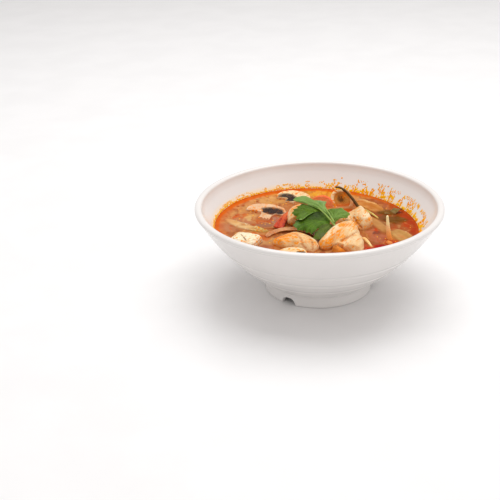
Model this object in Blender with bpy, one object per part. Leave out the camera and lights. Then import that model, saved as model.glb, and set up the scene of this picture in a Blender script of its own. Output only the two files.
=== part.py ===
"""Tom yum soup in a white footed bowl.

The origin is under the middle of the bowl, on the surface that the foot stands on.
+Z is up, and the near side of the bowl is at -Y.  Sizes are in metres; places given as
three plain numbers are in millimetres, and turns are in degrees.
"""

from math import cos, pi, radians, sin, tau

import bmesh
import bpy
from mathutils import Euler, Vector

MM = 0.001
GAP = 0.40 * MM                  # clearance between pieces that touch

# Bowl
RIM_RADIUS = 100 * MM
BOWL_HEIGHT = 73.4 * MM
BOWL_SEGMENTS = 36
LIP_WIDTH = 5.8 * MM
LIP_DEPTH = 4.6 * MM
LIP_OVERHANG = 0.55 * MM         # how far the lip stands proud of the wall inside
LIP_STEPS = 5
WALL_TOP = (RIM_RADIUS - 1.65 * MM, BOWL_HEIGHT - 4.4 * MM)
WALL_BELLY = (81.5 * MM, 37.0 * MM)          # control point of the outer wall's curve
INNER_TOP = (RIM_RADIUS - LIP_WIDTH + LIP_OVERHANG, BOWL_HEIGHT - 3.45 * MM)
INNER_BELLY = (73.5 * MM, 34.0 * MM)
INNER_FLOOR = (30 * MM, 14.3 * MM)
FLOOR_DISH = 0.3 * MM            # the inner floor is this much lower in its middle
FOOT_RADIUS = 44.6 * MM
FOOT_HEIGHT = 9.8 * MM
FOOT_WIDTH = 5.2 * MM
FOOT_EDGE = 1.0 * MM             # bevel of the foot ring's edges
RECESS_DEPTH = 7.6 * MM
RECESS_FILLET = 2.2 * MM
TURNED_RINGS = ((44.5 * MM, 0.45 * MM), (32.5 * MM, 0.6 * MM), (21.0 * MM, 0.45 * MM))
RING_HALF_WIDTH = 1.6 * MM
NOTCH_COUNT = 3
NOTCH_WIDTH = 12.5 * MM
NOTCH_HEIGHT = 5.6 * MM
NOTCH_DIRECTION = -127

# Broth
BROTH_LEVEL = 53.2 * MM
WET_STEPS = 4                    # steps of the wall from the broth's level to the floor

# Food
BODY_RINGS = 6                   # segments of a shrimp's body
TUBE_SIDES = 7
BLOCK_SIDES = 12
LEAF_THICKNESS = 0.85 * MM
LEAF_SAMPLES = 25                # points along a coriander leaflet's edge
LEAF_JOINT = (8.5, -14.0, 62.9)  # where the leaflets meet
# Each leaflet: its lobes as (direction, reach in mm, half width in degrees), and its slopes in X and Y.
LEAFLETS = {
    "upper": (((96, 22, 15), (126, 38.5, 17), (146, 33, 13), (163, 33, 14), (181, 26, 14)), (-0.11, 0.24)),
    "lower": (((185, 31, 13), (204, 28, 14), (222, 25, 13), (240, 23.5, 13), (255, 15, 13)), (0.02, 0.28)),
    "right": (((-42, 10, 18), (-8, 14, 18), (21, 18, 16), (50, 19, 16), (78, 15, 15)), (0.14, 0.27)),
}

COLOURS = {
    "melamine_white": ((0.80, 0.77, 0.74), 0.32),
    "broth_orange": ((0.52, 0.20, 0.06), 0.12),
    "shrimp_flesh": ((0.82, 0.52, 0.33), 0.35),
    "mushroom_flesh": ((0.84, 0.71, 0.52), 0.45),
    "tomato_red": ((0.80, 0.13, 0.05), 0.25),
    "onion_pale": ((0.66, 0.47, 0.20), 0.30),
    "lemongrass_pale": ((0.80, 0.62, 0.27), 0.40),
    "herb_dark": ((0.11, 0.12, 0.03), 0.40),
    "coriander_green": ((0.10, 0.27, 0.05), 0.45),
    "stalk_brown": ((0.06, 0.035, 0.015), 0.45),
}


# ---------------------------------------------------------------- helpers

def clear_scene():
    """Start from nothing."""
    for old in list(bpy.data.objects):
        bpy.data.objects.remove(old, do_unlink=True)


def material(name):
    """The Principled material of a colour in COLOURS."""
    found = bpy.data.materials.get(name)
    if found:
        return found
    colour, roughness = COLOURS[name]
    made = bpy.data.materials.new(name)
    made.use_nodes = True
    shader = made.node_tree.nodes["Principled BSDF"]
    shader.inputs["Base Color"].default_value = (*colour, 1.0)
    shader.inputs["Roughness"].default_value = roughness
    shader.inputs["Metallic"].default_value = 0.0
    return made


def add_object(name, bm, material_name, at=(0, 0, 0), turn=(0, 0, 0), sharp=40):
    """Turn a bmesh into a named object; faces that meet at over `sharp` degrees keep a crisp edge."""
    bmesh.ops.recalc_face_normals(bm, faces=bm.faces)
    mesh = bpy.data.meshes.new(name)
    bm.to_mesh(mesh)
    bm.free()
    mesh.shade_smooth()
    mesh.set_sharp_from_angle(angle=radians(sharp))
    mesh.materials.append(material(material_name))
    made = bpy.data.objects.new(name, mesh)
    bpy.context.scene.collection.objects.link(made)
    made.location = Vector(at) * MM
    made.rotation_euler = Euler([radians(angle) for angle in turn])
    return made


def quadratic(start, control, end, t):
    """A point of a quadratic Bezier curve."""
    return Vector(start) * (1 - t) ** 2 + Vector(control) * (2 * t * (1 - t)) + Vector(end) * t ** 2


def cubic(points, t):
    """A point of a cubic Bezier curve."""
    start, first, second, end = [Vector(point) for point in points]
    left = 1 - t
    return start * left ** 3 + first * (3 * left * left * t) + second * (3 * left * t * t) + end * t ** 3


def revolve(profile, segments):
    """A closed solid turned about Z from (radius, height) points that start and end on the axis."""
    bm = bmesh.new()
    rings = []
    for radius, height in profile[1:-1]:
        ring = []
        for k in range(segments):
            angle = tau * k / segments
            ring.append(bm.verts.new((radius * cos(angle), radius * sin(angle), height)))
        rings.append(ring)
    first = bm.verts.new((0, 0, profile[0][1]))
    last = bm.verts.new((0, 0, profile[-1][1]))
    for k in range(segments):
        n = (k + 1) % segments
        bm.faces.new((first, rings[0][k], rings[0][n]))
        bm.faces.new((last, rings[-1][n], rings[-1][k]))
        for near, far in zip(rings, rings[1:]):
            bm.faces.new((near[k], far[k], far[n], near[n]))
    return bm


def loft(rings):
    """A closed solid through rings of equally many points, capped at both ends."""
    bm = bmesh.new()
    loops = [[bm.verts.new(point) for point in ring] for ring in rings]
    count = len(loops[0])
    for near, far in zip(loops, loops[1:]):
        for k in range(count):
            n = (k + 1) % count
            bm.faces.new((near[k], near[n], far[n], far[k]))
    bm.faces.new(loops[0])
    bm.faces.new(loops[-1])
    return bm


def plate(outline, thickness, rounding):
    """A slab with the given (x, y) outline in the XY plane, its edges rounded off."""
    bm = bmesh.new()
    verts = [bm.verts.new((x, y, -thickness / 2)) for x, y in outline]
    face = bm.faces.new(verts)
    grown = bmesh.ops.extrude_face_region(bm, geom=[face])
    top = [item for item in grown["geom"] if isinstance(item, bmesh.types.BMVert)]
    bmesh.ops.translate(bm, verts=top, vec=(0, 0, thickness))
    rims = [edge for edge in bm.edges if abs(edge.verts[0].co.z - edge.verts[1].co.z) < thickness / 2]
    bmesh.ops.bevel(bm, geom=rims, offset=rounding, segments=1, affect="EDGES", clamp_overlap=True)
    return bm


def as_tool(thing):
    """Keep an object out of the model: it only cuts or adds to another."""
    thing.hide_render = True
    thing.display_type = "WIRE"


def make_room(source, amount, corner_limit=2.2):
    """A cutter: the object's own mesh with every face moved outwards, and sharp corners held back.

    The object is triangulated first, so that it and the room round it have the same facets.
    """
    bm = bmesh.new()
    bm.from_mesh(source.data)
    bmesh.ops.triangulate(bm, faces=bm.faces)
    bm.to_mesh(source.data)
    bm.normal_update()
    moves = [vert.normal * (amount * min(vert.calc_shell_factor(), corner_limit)) for vert in bm.verts]
    for vert, move in zip(bm.verts, moves):
        vert.co += move
    mesh = bpy.data.meshes.new(source.name + ".room")
    bm.to_mesh(mesh)
    bm.free()
    cutter = bpy.data.objects.new(source.name + ".room", mesh)
    bpy.context.scene.collection.objects.link(cutter)
    cutter.location = source.location
    cutter.rotation_euler = source.rotation_euler
    as_tool(cutter)
    return cutter


def combine(target, other, operation):
    """Add an exact Boolean of another object to the target."""
    cut = target.modifiers.new(other.name, "BOOLEAN")
    cut.operation = operation
    cut.object = other
    cut.solver = "EXACT"


def join(body, part):
    """Make the part one solid with the body."""
    as_tool(part)
    combine(body, part, "UNION")


# ---------------------------------------------------------------- bowl and broth

def inner_wall(t):
    """The inner wall's (radius, height) curve, from under the lip (t = 0) to the floor (t = 1)."""
    return quadratic(INNER_TOP, INNER_BELLY, INNER_FLOOR, t)


def outer_wall(t):
    """The outer wall's curve, from under the lip (t = 0) to the foot (t = 1), stepped at its rings."""
    radius, height = quadratic(WALL_TOP, WALL_BELLY, (FOOT_RADIUS, FOOT_HEIGHT), t)
    for ring_height, depth in TURNED_RINGS:
        away = (height - ring_height) / RING_HALF_WIDTH
        if 0 <= away < 1:
            radius -= depth * (1 - away)
    return Vector((radius, height))


def parameter_at(curve, height):
    """The parameter at which a falling wall curve reaches a height, by bisection."""
    low, high = 0.0, 1.0
    for _ in range(40):
        middle = (low + high) / 2
        if curve(middle).y > height:
            low = middle
        else:
            high = middle
    return low


def wet_wall():
    """Inner wall points from the broth's level down to the floor."""
    start = parameter_at(inner_wall, BROTH_LEVEL)
    return [inner_wall(start + (1 - start) * k / WET_STEPS) for k in range(WET_STEPS + 1)]


def dry_wall(steps=3):
    """Inner wall points from above the broth's level up to the lip."""
    start = parameter_at(inner_wall, BROTH_LEVEL)
    return [inner_wall(start * k / steps) for k in reversed(range(steps))]


def outer_parameters(plain_steps=5, spacing=0.04):
    """Outer wall parameters: even steps, and the two edges of each turned ring."""
    edges = []
    for ring_height, _ in TURNED_RINGS:
        for height in (ring_height - 0.05 * MM, ring_height, ring_height + RING_HALF_WIDTH):
            edges.append(parameter_at(outer_wall, height))
    plain = [k / plain_steps for k in range(plain_steps + 1)]
    kept = [t for t in plain if all(abs(t - edge) > spacing for edge in edges)]
    return sorted(kept + edges)


def lip():
    """The rolled lip's half section, over the top from the inner wall to the outer one."""
    middle_radius = RIM_RADIUS - LIP_WIDTH / 2
    middle_height = BOWL_HEIGHT - LIP_DEPTH / 2
    points = []
    for k in range(LIP_STEPS + 1):
        angle = radians(195 - 240 * k / LIP_STEPS)
        radius = middle_radius + LIP_WIDTH / 2 * cos(angle)
        points.append((radius, middle_height + LIP_DEPTH / 2 * sin(angle)))
    return points


def foot():
    """The foot ring's half section, from its outer root to the middle of the recess under the bowl."""
    inside = FOOT_RADIUS - FOOT_WIDTH
    return [
        (FOOT_RADIUS - 0.5 * MM, FOOT_HEIGHT * 0.55),
        (FOOT_RADIUS - 0.4 * MM, FOOT_EDGE),
        (FOOT_RADIUS - 0.4 * MM - FOOT_EDGE * 0.8, 0),
        (inside + FOOT_EDGE, 0),
        (inside, FOOT_EDGE),
        (inside - 0.8 * MM, RECESS_DEPTH - RECESS_FILLET * 0.7),
        (inside - 0.8 * MM - RECESS_FILLET, RECESS_DEPTH),
        (0, RECESS_DEPTH),
    ]


def bowl_profile():
    """The turned half section, from the floor's middle inside to the recess's middle below."""
    profile = [(0, INNER_FLOOR[1] - FLOOR_DISH)]
    profile += [tuple(point) for point in reversed(wet_wall())]
    profile += [tuple(point) for point in dry_wall()]
    profile += lip()
    profile += [tuple(outer_wall(t)) for t in outer_parameters()]
    return profile + foot()


def drain_notch(index):
    """A cutter for one of the small arches in the foot ring."""
    steps = 12
    below = -2 * MM
    arch = []
    for k in range(steps + 1):
        angle = pi * k / steps
        arch.append((NOTCH_WIDTH / 2 * cos(angle), NOTCH_HEIGHT * abs(sin(angle)) ** 0.7 + below * 0.01))
    arch += [(-NOTCH_WIDTH / 2, below), (NOTCH_WIDTH / 2, below)]
    overrun = 4 * MM
    radii = (FOOT_RADIUS - FOOT_WIDTH - overrun, FOOT_RADIUS + overrun)
    sweep = loft([[(x, y, z) for y, z in arch] for x in radii])
    cutter = add_object(f"notch.{index}", sweep, "melamine_white")
    cutter.rotation_euler.z = radians(NOTCH_DIRECTION) + tau * index / NOTCH_COUNT
    as_tool(cutter)
    return cutter


def make_bowl():
    bowl = add_object("bowl", revolve(bowl_profile(), BOWL_SEGMENTS), "melamine_white", sharp=35)
    for index in range(NOTCH_COUNT):
        combine(bowl, drain_notch(index), "DIFFERENCE")


def make_broth():
    """The liquid's body, a gap away from the wall and the floor, flat at its level."""
    wall = wet_wall()
    profile = [(0, BROTH_LEVEL), (wall[0].x - 1.3 * GAP, BROTH_LEVEL)]
    for before, point, after in zip(wall, wall[1:], wall[2:]):
        along = (after - before).normalized()
        inwards = Vector((along.y, -along.x))
        profile.append(tuple(point + inwards * GAP))
    profile.append((wall[-1].x - GAP, INNER_FLOOR[1] + GAP))
    profile.append((0, INNER_FLOOR[1] + GAP))
    return add_object("broth", revolve(profile, BOWL_SEGMENTS), "broth_orange", sharp=30)


# ---------------------------------------------------------------- food pieces

def tube_along(points, stations, belly=1.0):
    """Rings along a cubic curve in millimetres; each station is (t, half width, half height).

    The inside of a bend is `belly` times as wide. In a tight bend it is narrowed, so that
    neighbouring rings don't cross.
    """
    rings = []
    step = 0.02
    tightest = 0.70
    for t, wide, high in stations:
        centre = cubic(points, t) * MM
        before = cubic(points, t - step) * MM
        after = cubic(points, t + step) * MM
        along = (after - before).normalized()
        side = along.cross(Vector((0, 0, 1))).normalized()
        over = side.cross(along)
        pull = (before + after - 2 * centre).dot(side) / (after - centre).length_squared
        inside = min(wide * belly, tightest / max(abs(pull), 1.0))
        ring = []
        for k in range(TUBE_SIDES):
            phi = tau * k / TUBE_SIDES
            reach = inside if cos(phi) * pull > 0 else wide
            ring.append(centre + side * reach * cos(phi) + over * high * sin(phi))
        rings.append(ring)
    return rings


def shrimp(name, spine, girth, taper, belly=1.0):
    """A peeled shrimp curled along its spine, from the cut head end through its body rings."""
    stations = [(0.0, 0.50), (0.03, 0.84)]
    for k in range(BODY_RINGS):
        size = 1 - taper * (k / BODY_RINGS) ** 1.3
        stations.append(((k + 0.35) / BODY_RINGS, size * 1.02))
        stations.append(((k + 0.92) / BODY_RINGS, size * 0.93))
    stations.append((1.0, (1 - taper) * 0.55))
    scaled = [(t, girth * size, girth * size * 0.95) for t, size in stations]
    return add_object(name, loft(tube_along(spine, scaled, belly)), "shrimp_flesh", sharp=60)


def shrimp_tail(name, spine):
    """A flattened tail that widens to its fan."""
    steps = 5
    stations = []
    for k in range(steps + 1):
        t = k / steps
        end = 0.6 if k in (0, steps) else 1.0
        stations.append((t, (2.4 + 2.8 * t) * MM * end, (2.6 - 1.9 * t) * MM))
    return add_object(name, loft(tube_along(spine, stations)), "shrimp_flesh", sharp=60)


def mushroom_outline(cap_width, cap_height, stem_width, stem_length, stem_shift):
    """The section of a cap with its gill hollows, and of the stem towards -Y."""
    cap_steps = 8
    outline = []
    for k in range(cap_steps + 1):
        angle = pi * k / cap_steps
        outline.append((cap_width / 2 * cos(angle), cap_height * sin(angle) ** 0.8))
    rim = [(0.47, -0.16), (0.37, -0.20)]
    stem = [
        (0.72, -0.03 * cap_height),
        (0.48, -0.16 * cap_height),
        (0.44, -0.6 * stem_length),
        (0.52, -stem_length),
    ]
    left = [(-x * cap_width, y * cap_height) for x, y in rim]
    left += [(stem_shift - x * stem_width, y) for x, y in stem]
    right = [(stem_shift + x * stem_width, y) for x, y in reversed(stem)]
    right += [(x * cap_width, y * cap_height) for x, y in reversed(rim)]
    return outline + left + right


def mushroom_slice(name, cap, stem, thickness, at, turn, stem_shift=0.0):
    """A lengthwise slice of a button mushroom; cap and stem are (width, length)."""
    outline = mushroom_outline(*cap, *stem, stem_shift)
    return add_object(name, plate(outline, thickness, 0.7 * MM), "mushroom_flesh", at, turn)


def mushroom_block(name, size, squareness, at, turn):
    """A soft-cornered block with a domed top, from superellipse rings at shares of its height."""
    rings = []
    for level, scale in ((-0.5, 0.72), (-0.34, 0.95), (0.1, 1.0), (0.34, 0.93), (0.5, 0.70)):
        ring = []
        for k in range(BLOCK_SIDES):
            angle = tau * k / BLOCK_SIDES
            reach = (abs(cos(angle)) ** squareness + abs(sin(angle)) ** squareness) ** (-1 / squareness)
            x = size[0] / 2 * scale * reach * cos(angle)
            y = size[1] / 2 * scale * reach * sin(angle)
            ring.append(Vector((x, y, level * size[2])))
        rings.append(ring)
    return add_object(name, loft(rings), "mushroom_flesh", at, turn, sharp=50)


def mushroom_cap(name, radius, height, hollow, at, turn):
    """A small whole cap on its side, its gill hollow along its own -Z."""
    steps = 5
    profile = [(0, height)]
    for k in range(1, steps + 1):
        angle = pi / 2 * k / steps
        profile.append((radius * sin(angle), height * cos(angle)))
    profile += [
        (radius * 0.96, -height * 0.16),
        (radius * 0.84, -height * 0.20),
        (radius * 0.62, hollow * 0.8),
        (0, hollow),
    ]
    return add_object(name, revolve(profile, 16), "mushroom_flesh", at, turn, sharp=50)


def petal(name, length, width, thickness, cup, curl, at, turn):
    """A curved layer of onion: bent along its length by curl degrees, and cupped across it."""
    stations = 8
    across = 4
    end_width = 0.55
    radius = length / radians(curl)
    rings = []
    for i in range(stations):
        s = 2 * i / (stations - 1) - 1
        half = width / 2 * (end_width + (1 - end_width) * (1 - s * s) ** 0.6)
        angle = radians(curl) * s / 2
        centre = Vector((radius * sin(angle), radius * (cos(angle) - 1), 0))
        side = Vector((sin(angle), cos(angle), 0))
        top = []
        bottom = []
        for k in range(across):
            u = 2 * k / (across - 1) - 1
            lift = cup * (u * u - 0.5)
            thin = thickness * (1 - 0.55 * u * u)
            point = centre + side * half * u
            top.append(point + Vector((0, 0, lift + thin / 2)))
            bottom.append(point + Vector((0, 0, lift - thin / 2)))
        rings.append(top + bottom[::-1])
    return add_object(name, loft(rings), "onion_pale", at, turn, sharp=50)


def sliver(name, length, width, thickness, bow, at, turn):
    """A thin strip of lemongrass that bows upwards and narrows to its tip at +X."""
    stations = 6
    tip = 0.35
    rings = []
    for i in range(stations):
        s = i / (stations - 1)
        end = 0.7 if i in (0, stations - 1) else 1.0
        scale = (1 - (1 - tip) * s ** 1.5) * end
        ring = []
        for k in range(TUBE_SIDES):
            phi = tau * (k + 0.5) / TUBE_SIDES
            y = width / 2 * scale * cos(phi)
            z = bow * 4 * s * (1 - s) + thickness / 2 * scale * sin(phi)
            ring.append(Vector((length * s, y, z)))
        rings.append(ring)
    return add_object(name, loft(rings), "lemongrass_pale", at, turn, sharp=70)


def tomato_wedge(name, radius, length, opening, at, turn):
    """A wedge cut from a tomato: skin over an arc, two flat cut faces that meet at the core."""
    slices = 6
    steps = 8
    bm = bmesh.new()
    poles = [bm.verts.new((side * length / 2, 0, 0)) for side in (-1, 1)]
    arcs = []
    for i in range(slices + 1):
        angle = radians(opening) * (i / slices - 0.5)
        arc = []
        for j in range(1, steps):
            along = pi * j / steps
            reach = radius * sin(along) ** 0.75
            arc.append(bm.verts.new((-length / 2 * cos(along), reach * sin(angle), reach * cos(angle))))
        arcs.append(arc)
    for near, far in zip(arcs, arcs[1:]):
        bm.faces.new((poles[0], near[0], far[0]))
        bm.faces.new((poles[1], near[-1], far[-1]))
        for j in range(steps - 2):
            bm.faces.new((near[j], near[j + 1], far[j + 1], far[j]))
    bm.faces.new([poles[0]] + arcs[0] + [poles[1]])
    bm.faces.new([poles[0]] + arcs[-1] + [poles[1]])
    return add_object(name, bm, "tomato_red", at, turn)


def stalk(name, start, knee, end, thin, thick, material_name):
    """A bent stalk from one point to another in millimetres, thicker towards its end."""
    rings = []
    stations = 9
    sides = 6
    for i in range(stations):
        t = i / (stations - 1)
        centre = quadratic(start, knee, end, t) * MM
        ahead = quadratic(start, knee, end, t + 0.01) * MM
        along = (ahead - centre).normalized()
        side = along.cross(Vector((0, 0, 1))).normalized()
        over = side.cross(along)
        radius = (thin + (thick - thin) * t) / 2
        angles = [tau * k / sides for k in range(sides)]
        rings.append([centre + (side * cos(angle) + over * sin(angle)) * radius for angle in angles])
    return add_object(name, loft(rings), material_name, sharp=70)


def wilted_leaf(name, length, width, lift, at, turn):
    """A limp leaf that lies in folds, pointed at +X and lifted towards its tip."""
    thickness = 0.9 * MM
    fold_height = 1.0 * MM
    stations = 9
    across = 4
    rings = []
    for i in range(stations):
        s = i / (stations - 1)
        half = width / 2 * max(sin(pi * (0.06 + 0.9 * s)) ** 0.7, 0.12)
        top = []
        bottom = []
        for k in range(across):
            u = 2 * k / (across - 1) - 1
            fold = fold_height * sin(tau * 1.6 * s + 1.1 * u) * (0.4 + 0.6 * abs(u))
            point = Vector((length * s, half * u, fold + lift * s * s))
            top.append(point + Vector((0, 0, thickness / 2)))
            bottom.append(point - Vector((0, 0, thickness / 2)))
        rings.append(top + bottom[::-1])
    return add_object(name, loft(rings), "herb_dark", at, turn, sharp=50)


# ---------------------------------------------------------------- coriander sprig

def leaf_reach(angle, lobes, web=5.0):
    """How far the blade reaches in a direction: the furthest of its lobes there, or the web between."""
    reach = web
    for direction, length, half_width in lobes:
        off = abs(angle - direction) / half_width
        if off < 1:
            teeth = 1 - 0.09 * abs(sin(1.5 * pi * off))
            reach = max(reach, length * (1 - off ** 2.4) ** 0.45 * teeth)
    return reach


def leaflet_height(degrees, reach, share, lobes, slopes):
    """The blade's height over the joint: sloped, domed towards its tips and ribbed along its lobes."""
    longest = max(length for _, length, _ in lobes)
    rib_spacing = 18
    slope = reach * (slopes[0] * cos(radians(degrees)) + slopes[1] * sin(radians(degrees)))
    dome = 1.6 * sin(pi * min(reach / longest, 1.0))
    ribs = 0.5 * share * cos(tau * (degrees - lobes[0][0]) / rib_spacing)
    return slope + dome + ribs


def leaflet(name, lobes, slopes):
    """A thin lobed blade that spreads from the joint."""
    first = lobes[0][0] - lobes[0][2] * 0.9
    last = lobes[-1][0] + lobes[-1][2] * 0.9
    bm = bmesh.new()
    layers = []
    for side in (1, -1):
        half_thickness = Vector((0, 0, side * LEAF_THICKNESS / 2))
        hub = bm.verts.new(half_thickness)
        rows = []
        for share in (0.5, 1.0):
            row = []
            for k in range(LEAF_SAMPLES):
                degrees = first + (last - first) * k / (LEAF_SAMPLES - 1)
                reach = leaf_reach(degrees, lobes) * share
                height = leaflet_height(degrees, reach, share, lobes, slopes)
                point = Vector((reach * cos(radians(degrees)), reach * sin(radians(degrees)), height)) * MM
                row.append(bm.verts.new(point + half_thickness))
            rows.append(row)
        layers.append([hub] + rows)
    for hub, middle, edge in layers:
        for k in range(LEAF_SAMPLES - 1):
            bm.faces.new((hub, middle[k], middle[k + 1]))
            bm.faces.new((middle[k], edge[k], edge[k + 1], middle[k + 1]))
    over, under = layers
    for k in range(LEAF_SAMPLES - 1):
        bm.faces.new((over[2][k], over[2][k + 1], under[2][k + 1], under[2][k]))
    for k in (0, LEAF_SAMPLES - 1):
        bm.faces.new((over[0], over[1][k], under[1][k], under[0]))
        bm.faces.new((over[1][k], over[2][k], under[2][k], under[1][k]))
    return add_object(name, bm, "coriander_green", LEAF_JOINT, sharp=50)


def make_sprig():
    """Three leaflets on one stem, joined into one solid; the solids that it is made of."""
    sprig = stalk("coriander_sprig", (4.6, 5, 70.2), (7, -8, 66), (10.5, -21, 57), 1.7 * MM, 2.2 * MM,
                  "coriander_green")
    blades = [leaflet(f"leaflet.{name}", lobes, slopes) for name, (lobes, slopes) in LEAFLETS.items()]
    for blade in blades:
        join(sprig, blade)
    return [sprig] + blades


# ---------------------------------------------------------------- what stands out of the broth

def make_shrimps():
    """Four shrimps; one keeps its tail, and one is folded in two lobes."""
    left_spine = ((-18, 1, 54), (-21, 8, 58), (-20, 22, 58.5), (-9, 26, 57))
    tail_spine = ((-21, 17.5, 57), (-26, 15, 58), (-30, 3, 56.5), (-33, -7, 54.5))
    right_spine = ((26.5, -18, 57), (20, -17, 59.5), (11, -30, 58), (1, -46.5, 54))
    fold_spine = ((22, -52, 53), (29, -45, 55.5), (29.5, -29, 57), (24, -20, 57))
    front_spine = ((-10, -50, 52.5), (-8, -28, 55), (-26, -27, 55), (-34, -38, 53.8))
    back_spine = ((33, -8, 51.5), (43, 20, 61), (24, 22, 60), (16.5, 6, 53.5))
    left = shrimp("shrimp_left", left_spine, 6.2 * MM, 0.35)
    tail = shrimp_tail("lobe.tail", tail_spine)
    join(left, tail)
    right = shrimp("shrimp_right", right_spine, 6.6 * MM, 0.38)
    fold = shrimp("lobe.fold", fold_spine, 7.1 * MM, 0.15)
    join(right, fold)
    front = shrimp("shrimp_front", front_spine, 6.2 * MM, 0.33, 1.3)
    back = shrimp("shrimp_back", back_spine, 6.6 * MM, 0.30)
    return [left, tail, right, fold, front, back]


def make_mushrooms():
    """Three slices, two cut lumps and a small whole cap."""
    return [
        mushroom_slice("mushroom_slice_left", (35 * MM, 14 * MM), (9 * MM, 15 * MM), 5 * MM,
                       (-42.5, 29, 51.9), (3, 2, -20), stem_shift=4 * MM),
        mushroom_slice("mushroom_slice_back", (31 * MM, 13 * MM), (8 * MM, 7 * MM), 6 * MM,
                       (-18.3, 55, 52.8), (8, 0, -28)),
        mushroom_slice("mushroom_slice_front", (25 * MM, 12 * MM), (8 * MM, 7 * MM), 6 * MM,
                       (-24.0, -58.9, 52.8), (3, 0, 25)),
        mushroom_block("mushroom_chunk", (24 * MM, 18 * MM, 11 * MM), 4.5,
                       (-59.3, -30.5, 53.1), (3, -2, -29)),
        mushroom_block("mushroom_bit", (10 * MM, 12 * MM, 9 * MM), 2.3, (12.3, -50, 52.4), (0, 6, 20)),
        mushroom_cap("mushroom_cap", 9.8 * MM, 8.5 * MM, 3.5 * MM, (23.0, 46.0, 55.9), (-110, 0, 16)),
    ]


def make_vegetables():
    """Tomato, onion layers, lemongrass, a dark stalk and two limp herb leaves."""
    return [
        tomato_wedge("tomato_wedge", 14 * MM, 19.5 * MM, 75, (4.2, 42, 45.5), (-28, 0, -22)),
        petal("onion_arc", 66 * MM, 5.4 * MM, 1.8 * MM, 0.8 * MM, 180, (-15.1, -10.6, 53.0), (0, 0, -22)),
        petal("onion_strip_left", 43 * MM, 9 * MM, 2.0 * MM, 1.2 * MM, -30, (-60, 0, 53.2), (0, 0, -38)),
        petal("onion_petal_back", 27 * MM, 13 * MM, 2.0 * MM, 2.5 * MM, 40, (46.5, 43, 52.8), (0, 6, -50)),
        petal("onion_strip_right", 34 * MM, 8 * MM, 2.0 * MM, 1.0 * MM, 12, (49, 3.5, 52.8), (0, 0, -68)),
        petal("onion_petal_right", 25 * MM, 13 * MM, 2.0 * MM, 2.5 * MM, 30, (66.0, -20, 52.2), (0, 4, -70)),
        sliver("lemongrass_strip", 24 * MM, 2.6 * MM, 2.0 * MM, 1.0 * MM, (38.5, 36, 53.6), (0, 0, -60)),
        sliver("lemongrass_upright", 24 * MM, 3.0 * MM, 3.0 * MM, 0.6 * MM, (55.5, -25, 46.5), (0, -98, 0)),
        sliver("lemongrass_sliver", 18 * MM, 3.0 * MM, 2.4 * MM, 1.0 * MM, (33.5, -25, 54.0), (0, 4, -72)),
        stalk("stalk", (17.5, 49, 67.2), (26, 49, 72.5), (37, 32.5, 53.5), 1.6 * MM, 2.8 * MM,
              "stalk_brown"),
        wilted_leaf("herb_leaf_near", 18 * MM, 13 * MM, 0.0, (56, 12, 53.4), (0, 0, 5)),
        wilted_leaf("herb_leaf_far", 19 * MM, 8 * MM, 3.5 * MM, (53.5, 28, 53.5), (0, 0, 5)),
    ]


def main():
    clear_scene()
    make_bowl()
    broth = make_broth()
    for piece in make_shrimps() + make_mushrooms() + make_vegetables() + make_sprig():
        combine(broth, make_room(piece, GAP), "DIFFERENCE")


main()
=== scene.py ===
"""Looks of the tom yum soup in its white bowl.

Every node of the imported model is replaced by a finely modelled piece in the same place.
Places and sizes are in millimetres and turns in degrees; add_piece() makes metres of them.
Colours given as three whole numbers are screen colours in 0..255.
"""

from itertools import product
from math import cos, pi, radians, sin, tau

import bpy
import numpy as np
from mathutils import Euler, Matrix, Vector


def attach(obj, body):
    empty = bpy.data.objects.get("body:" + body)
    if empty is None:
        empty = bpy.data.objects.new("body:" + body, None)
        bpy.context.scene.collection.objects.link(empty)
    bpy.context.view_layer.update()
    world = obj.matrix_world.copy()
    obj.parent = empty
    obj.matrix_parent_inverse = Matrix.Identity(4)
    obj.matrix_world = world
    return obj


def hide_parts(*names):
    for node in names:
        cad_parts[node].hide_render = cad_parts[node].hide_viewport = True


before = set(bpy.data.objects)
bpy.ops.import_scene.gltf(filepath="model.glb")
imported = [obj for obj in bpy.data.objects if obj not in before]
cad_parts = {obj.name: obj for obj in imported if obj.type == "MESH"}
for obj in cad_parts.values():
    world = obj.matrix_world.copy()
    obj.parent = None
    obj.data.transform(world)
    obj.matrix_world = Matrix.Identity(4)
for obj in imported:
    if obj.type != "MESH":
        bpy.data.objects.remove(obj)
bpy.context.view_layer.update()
MM = 0.001

# Bowl, as in the solid model
RIM_RADIUS = 100.0
BOWL_HEIGHT = 73.4
LIP_WIDTH = 5.8
LIP_DEPTH = 4.6
LIP_OVERHANG = 0.55
WALL_TOP = (RIM_RADIUS - 1.65, BOWL_HEIGHT - 4.4)
WALL_BELLY = (81.5, 37.0)
INNER_TOP = (RIM_RADIUS - LIP_WIDTH + LIP_OVERHANG, BOWL_HEIGHT - 3.45)
INNER_BELLY = (73.5, 34.0)
INNER_FLOOR = (30.0, 14.3)
FOOT_RADIUS = 44.6
FOOT_HEIGHT = 9.8
FOOT_WIDTH = 5.2
FOOT_MIDDLE = FOOT_RADIUS - FOOT_WIDTH / 2
RECESS_DEPTH = 7.6
TURNED_RINGS = ((44.5, 0.45), (32.5, 0.60), (21.0, 0.45))      # height, depth
RING_HALF_WIDTH = 1.6
NOTCH_WIDTH = 12.5
NOTCH_HEIGHT = 5.6
NOTCH_MIDDLES = [radians(-127) + tau * k / 3 for k in range(3)]

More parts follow.
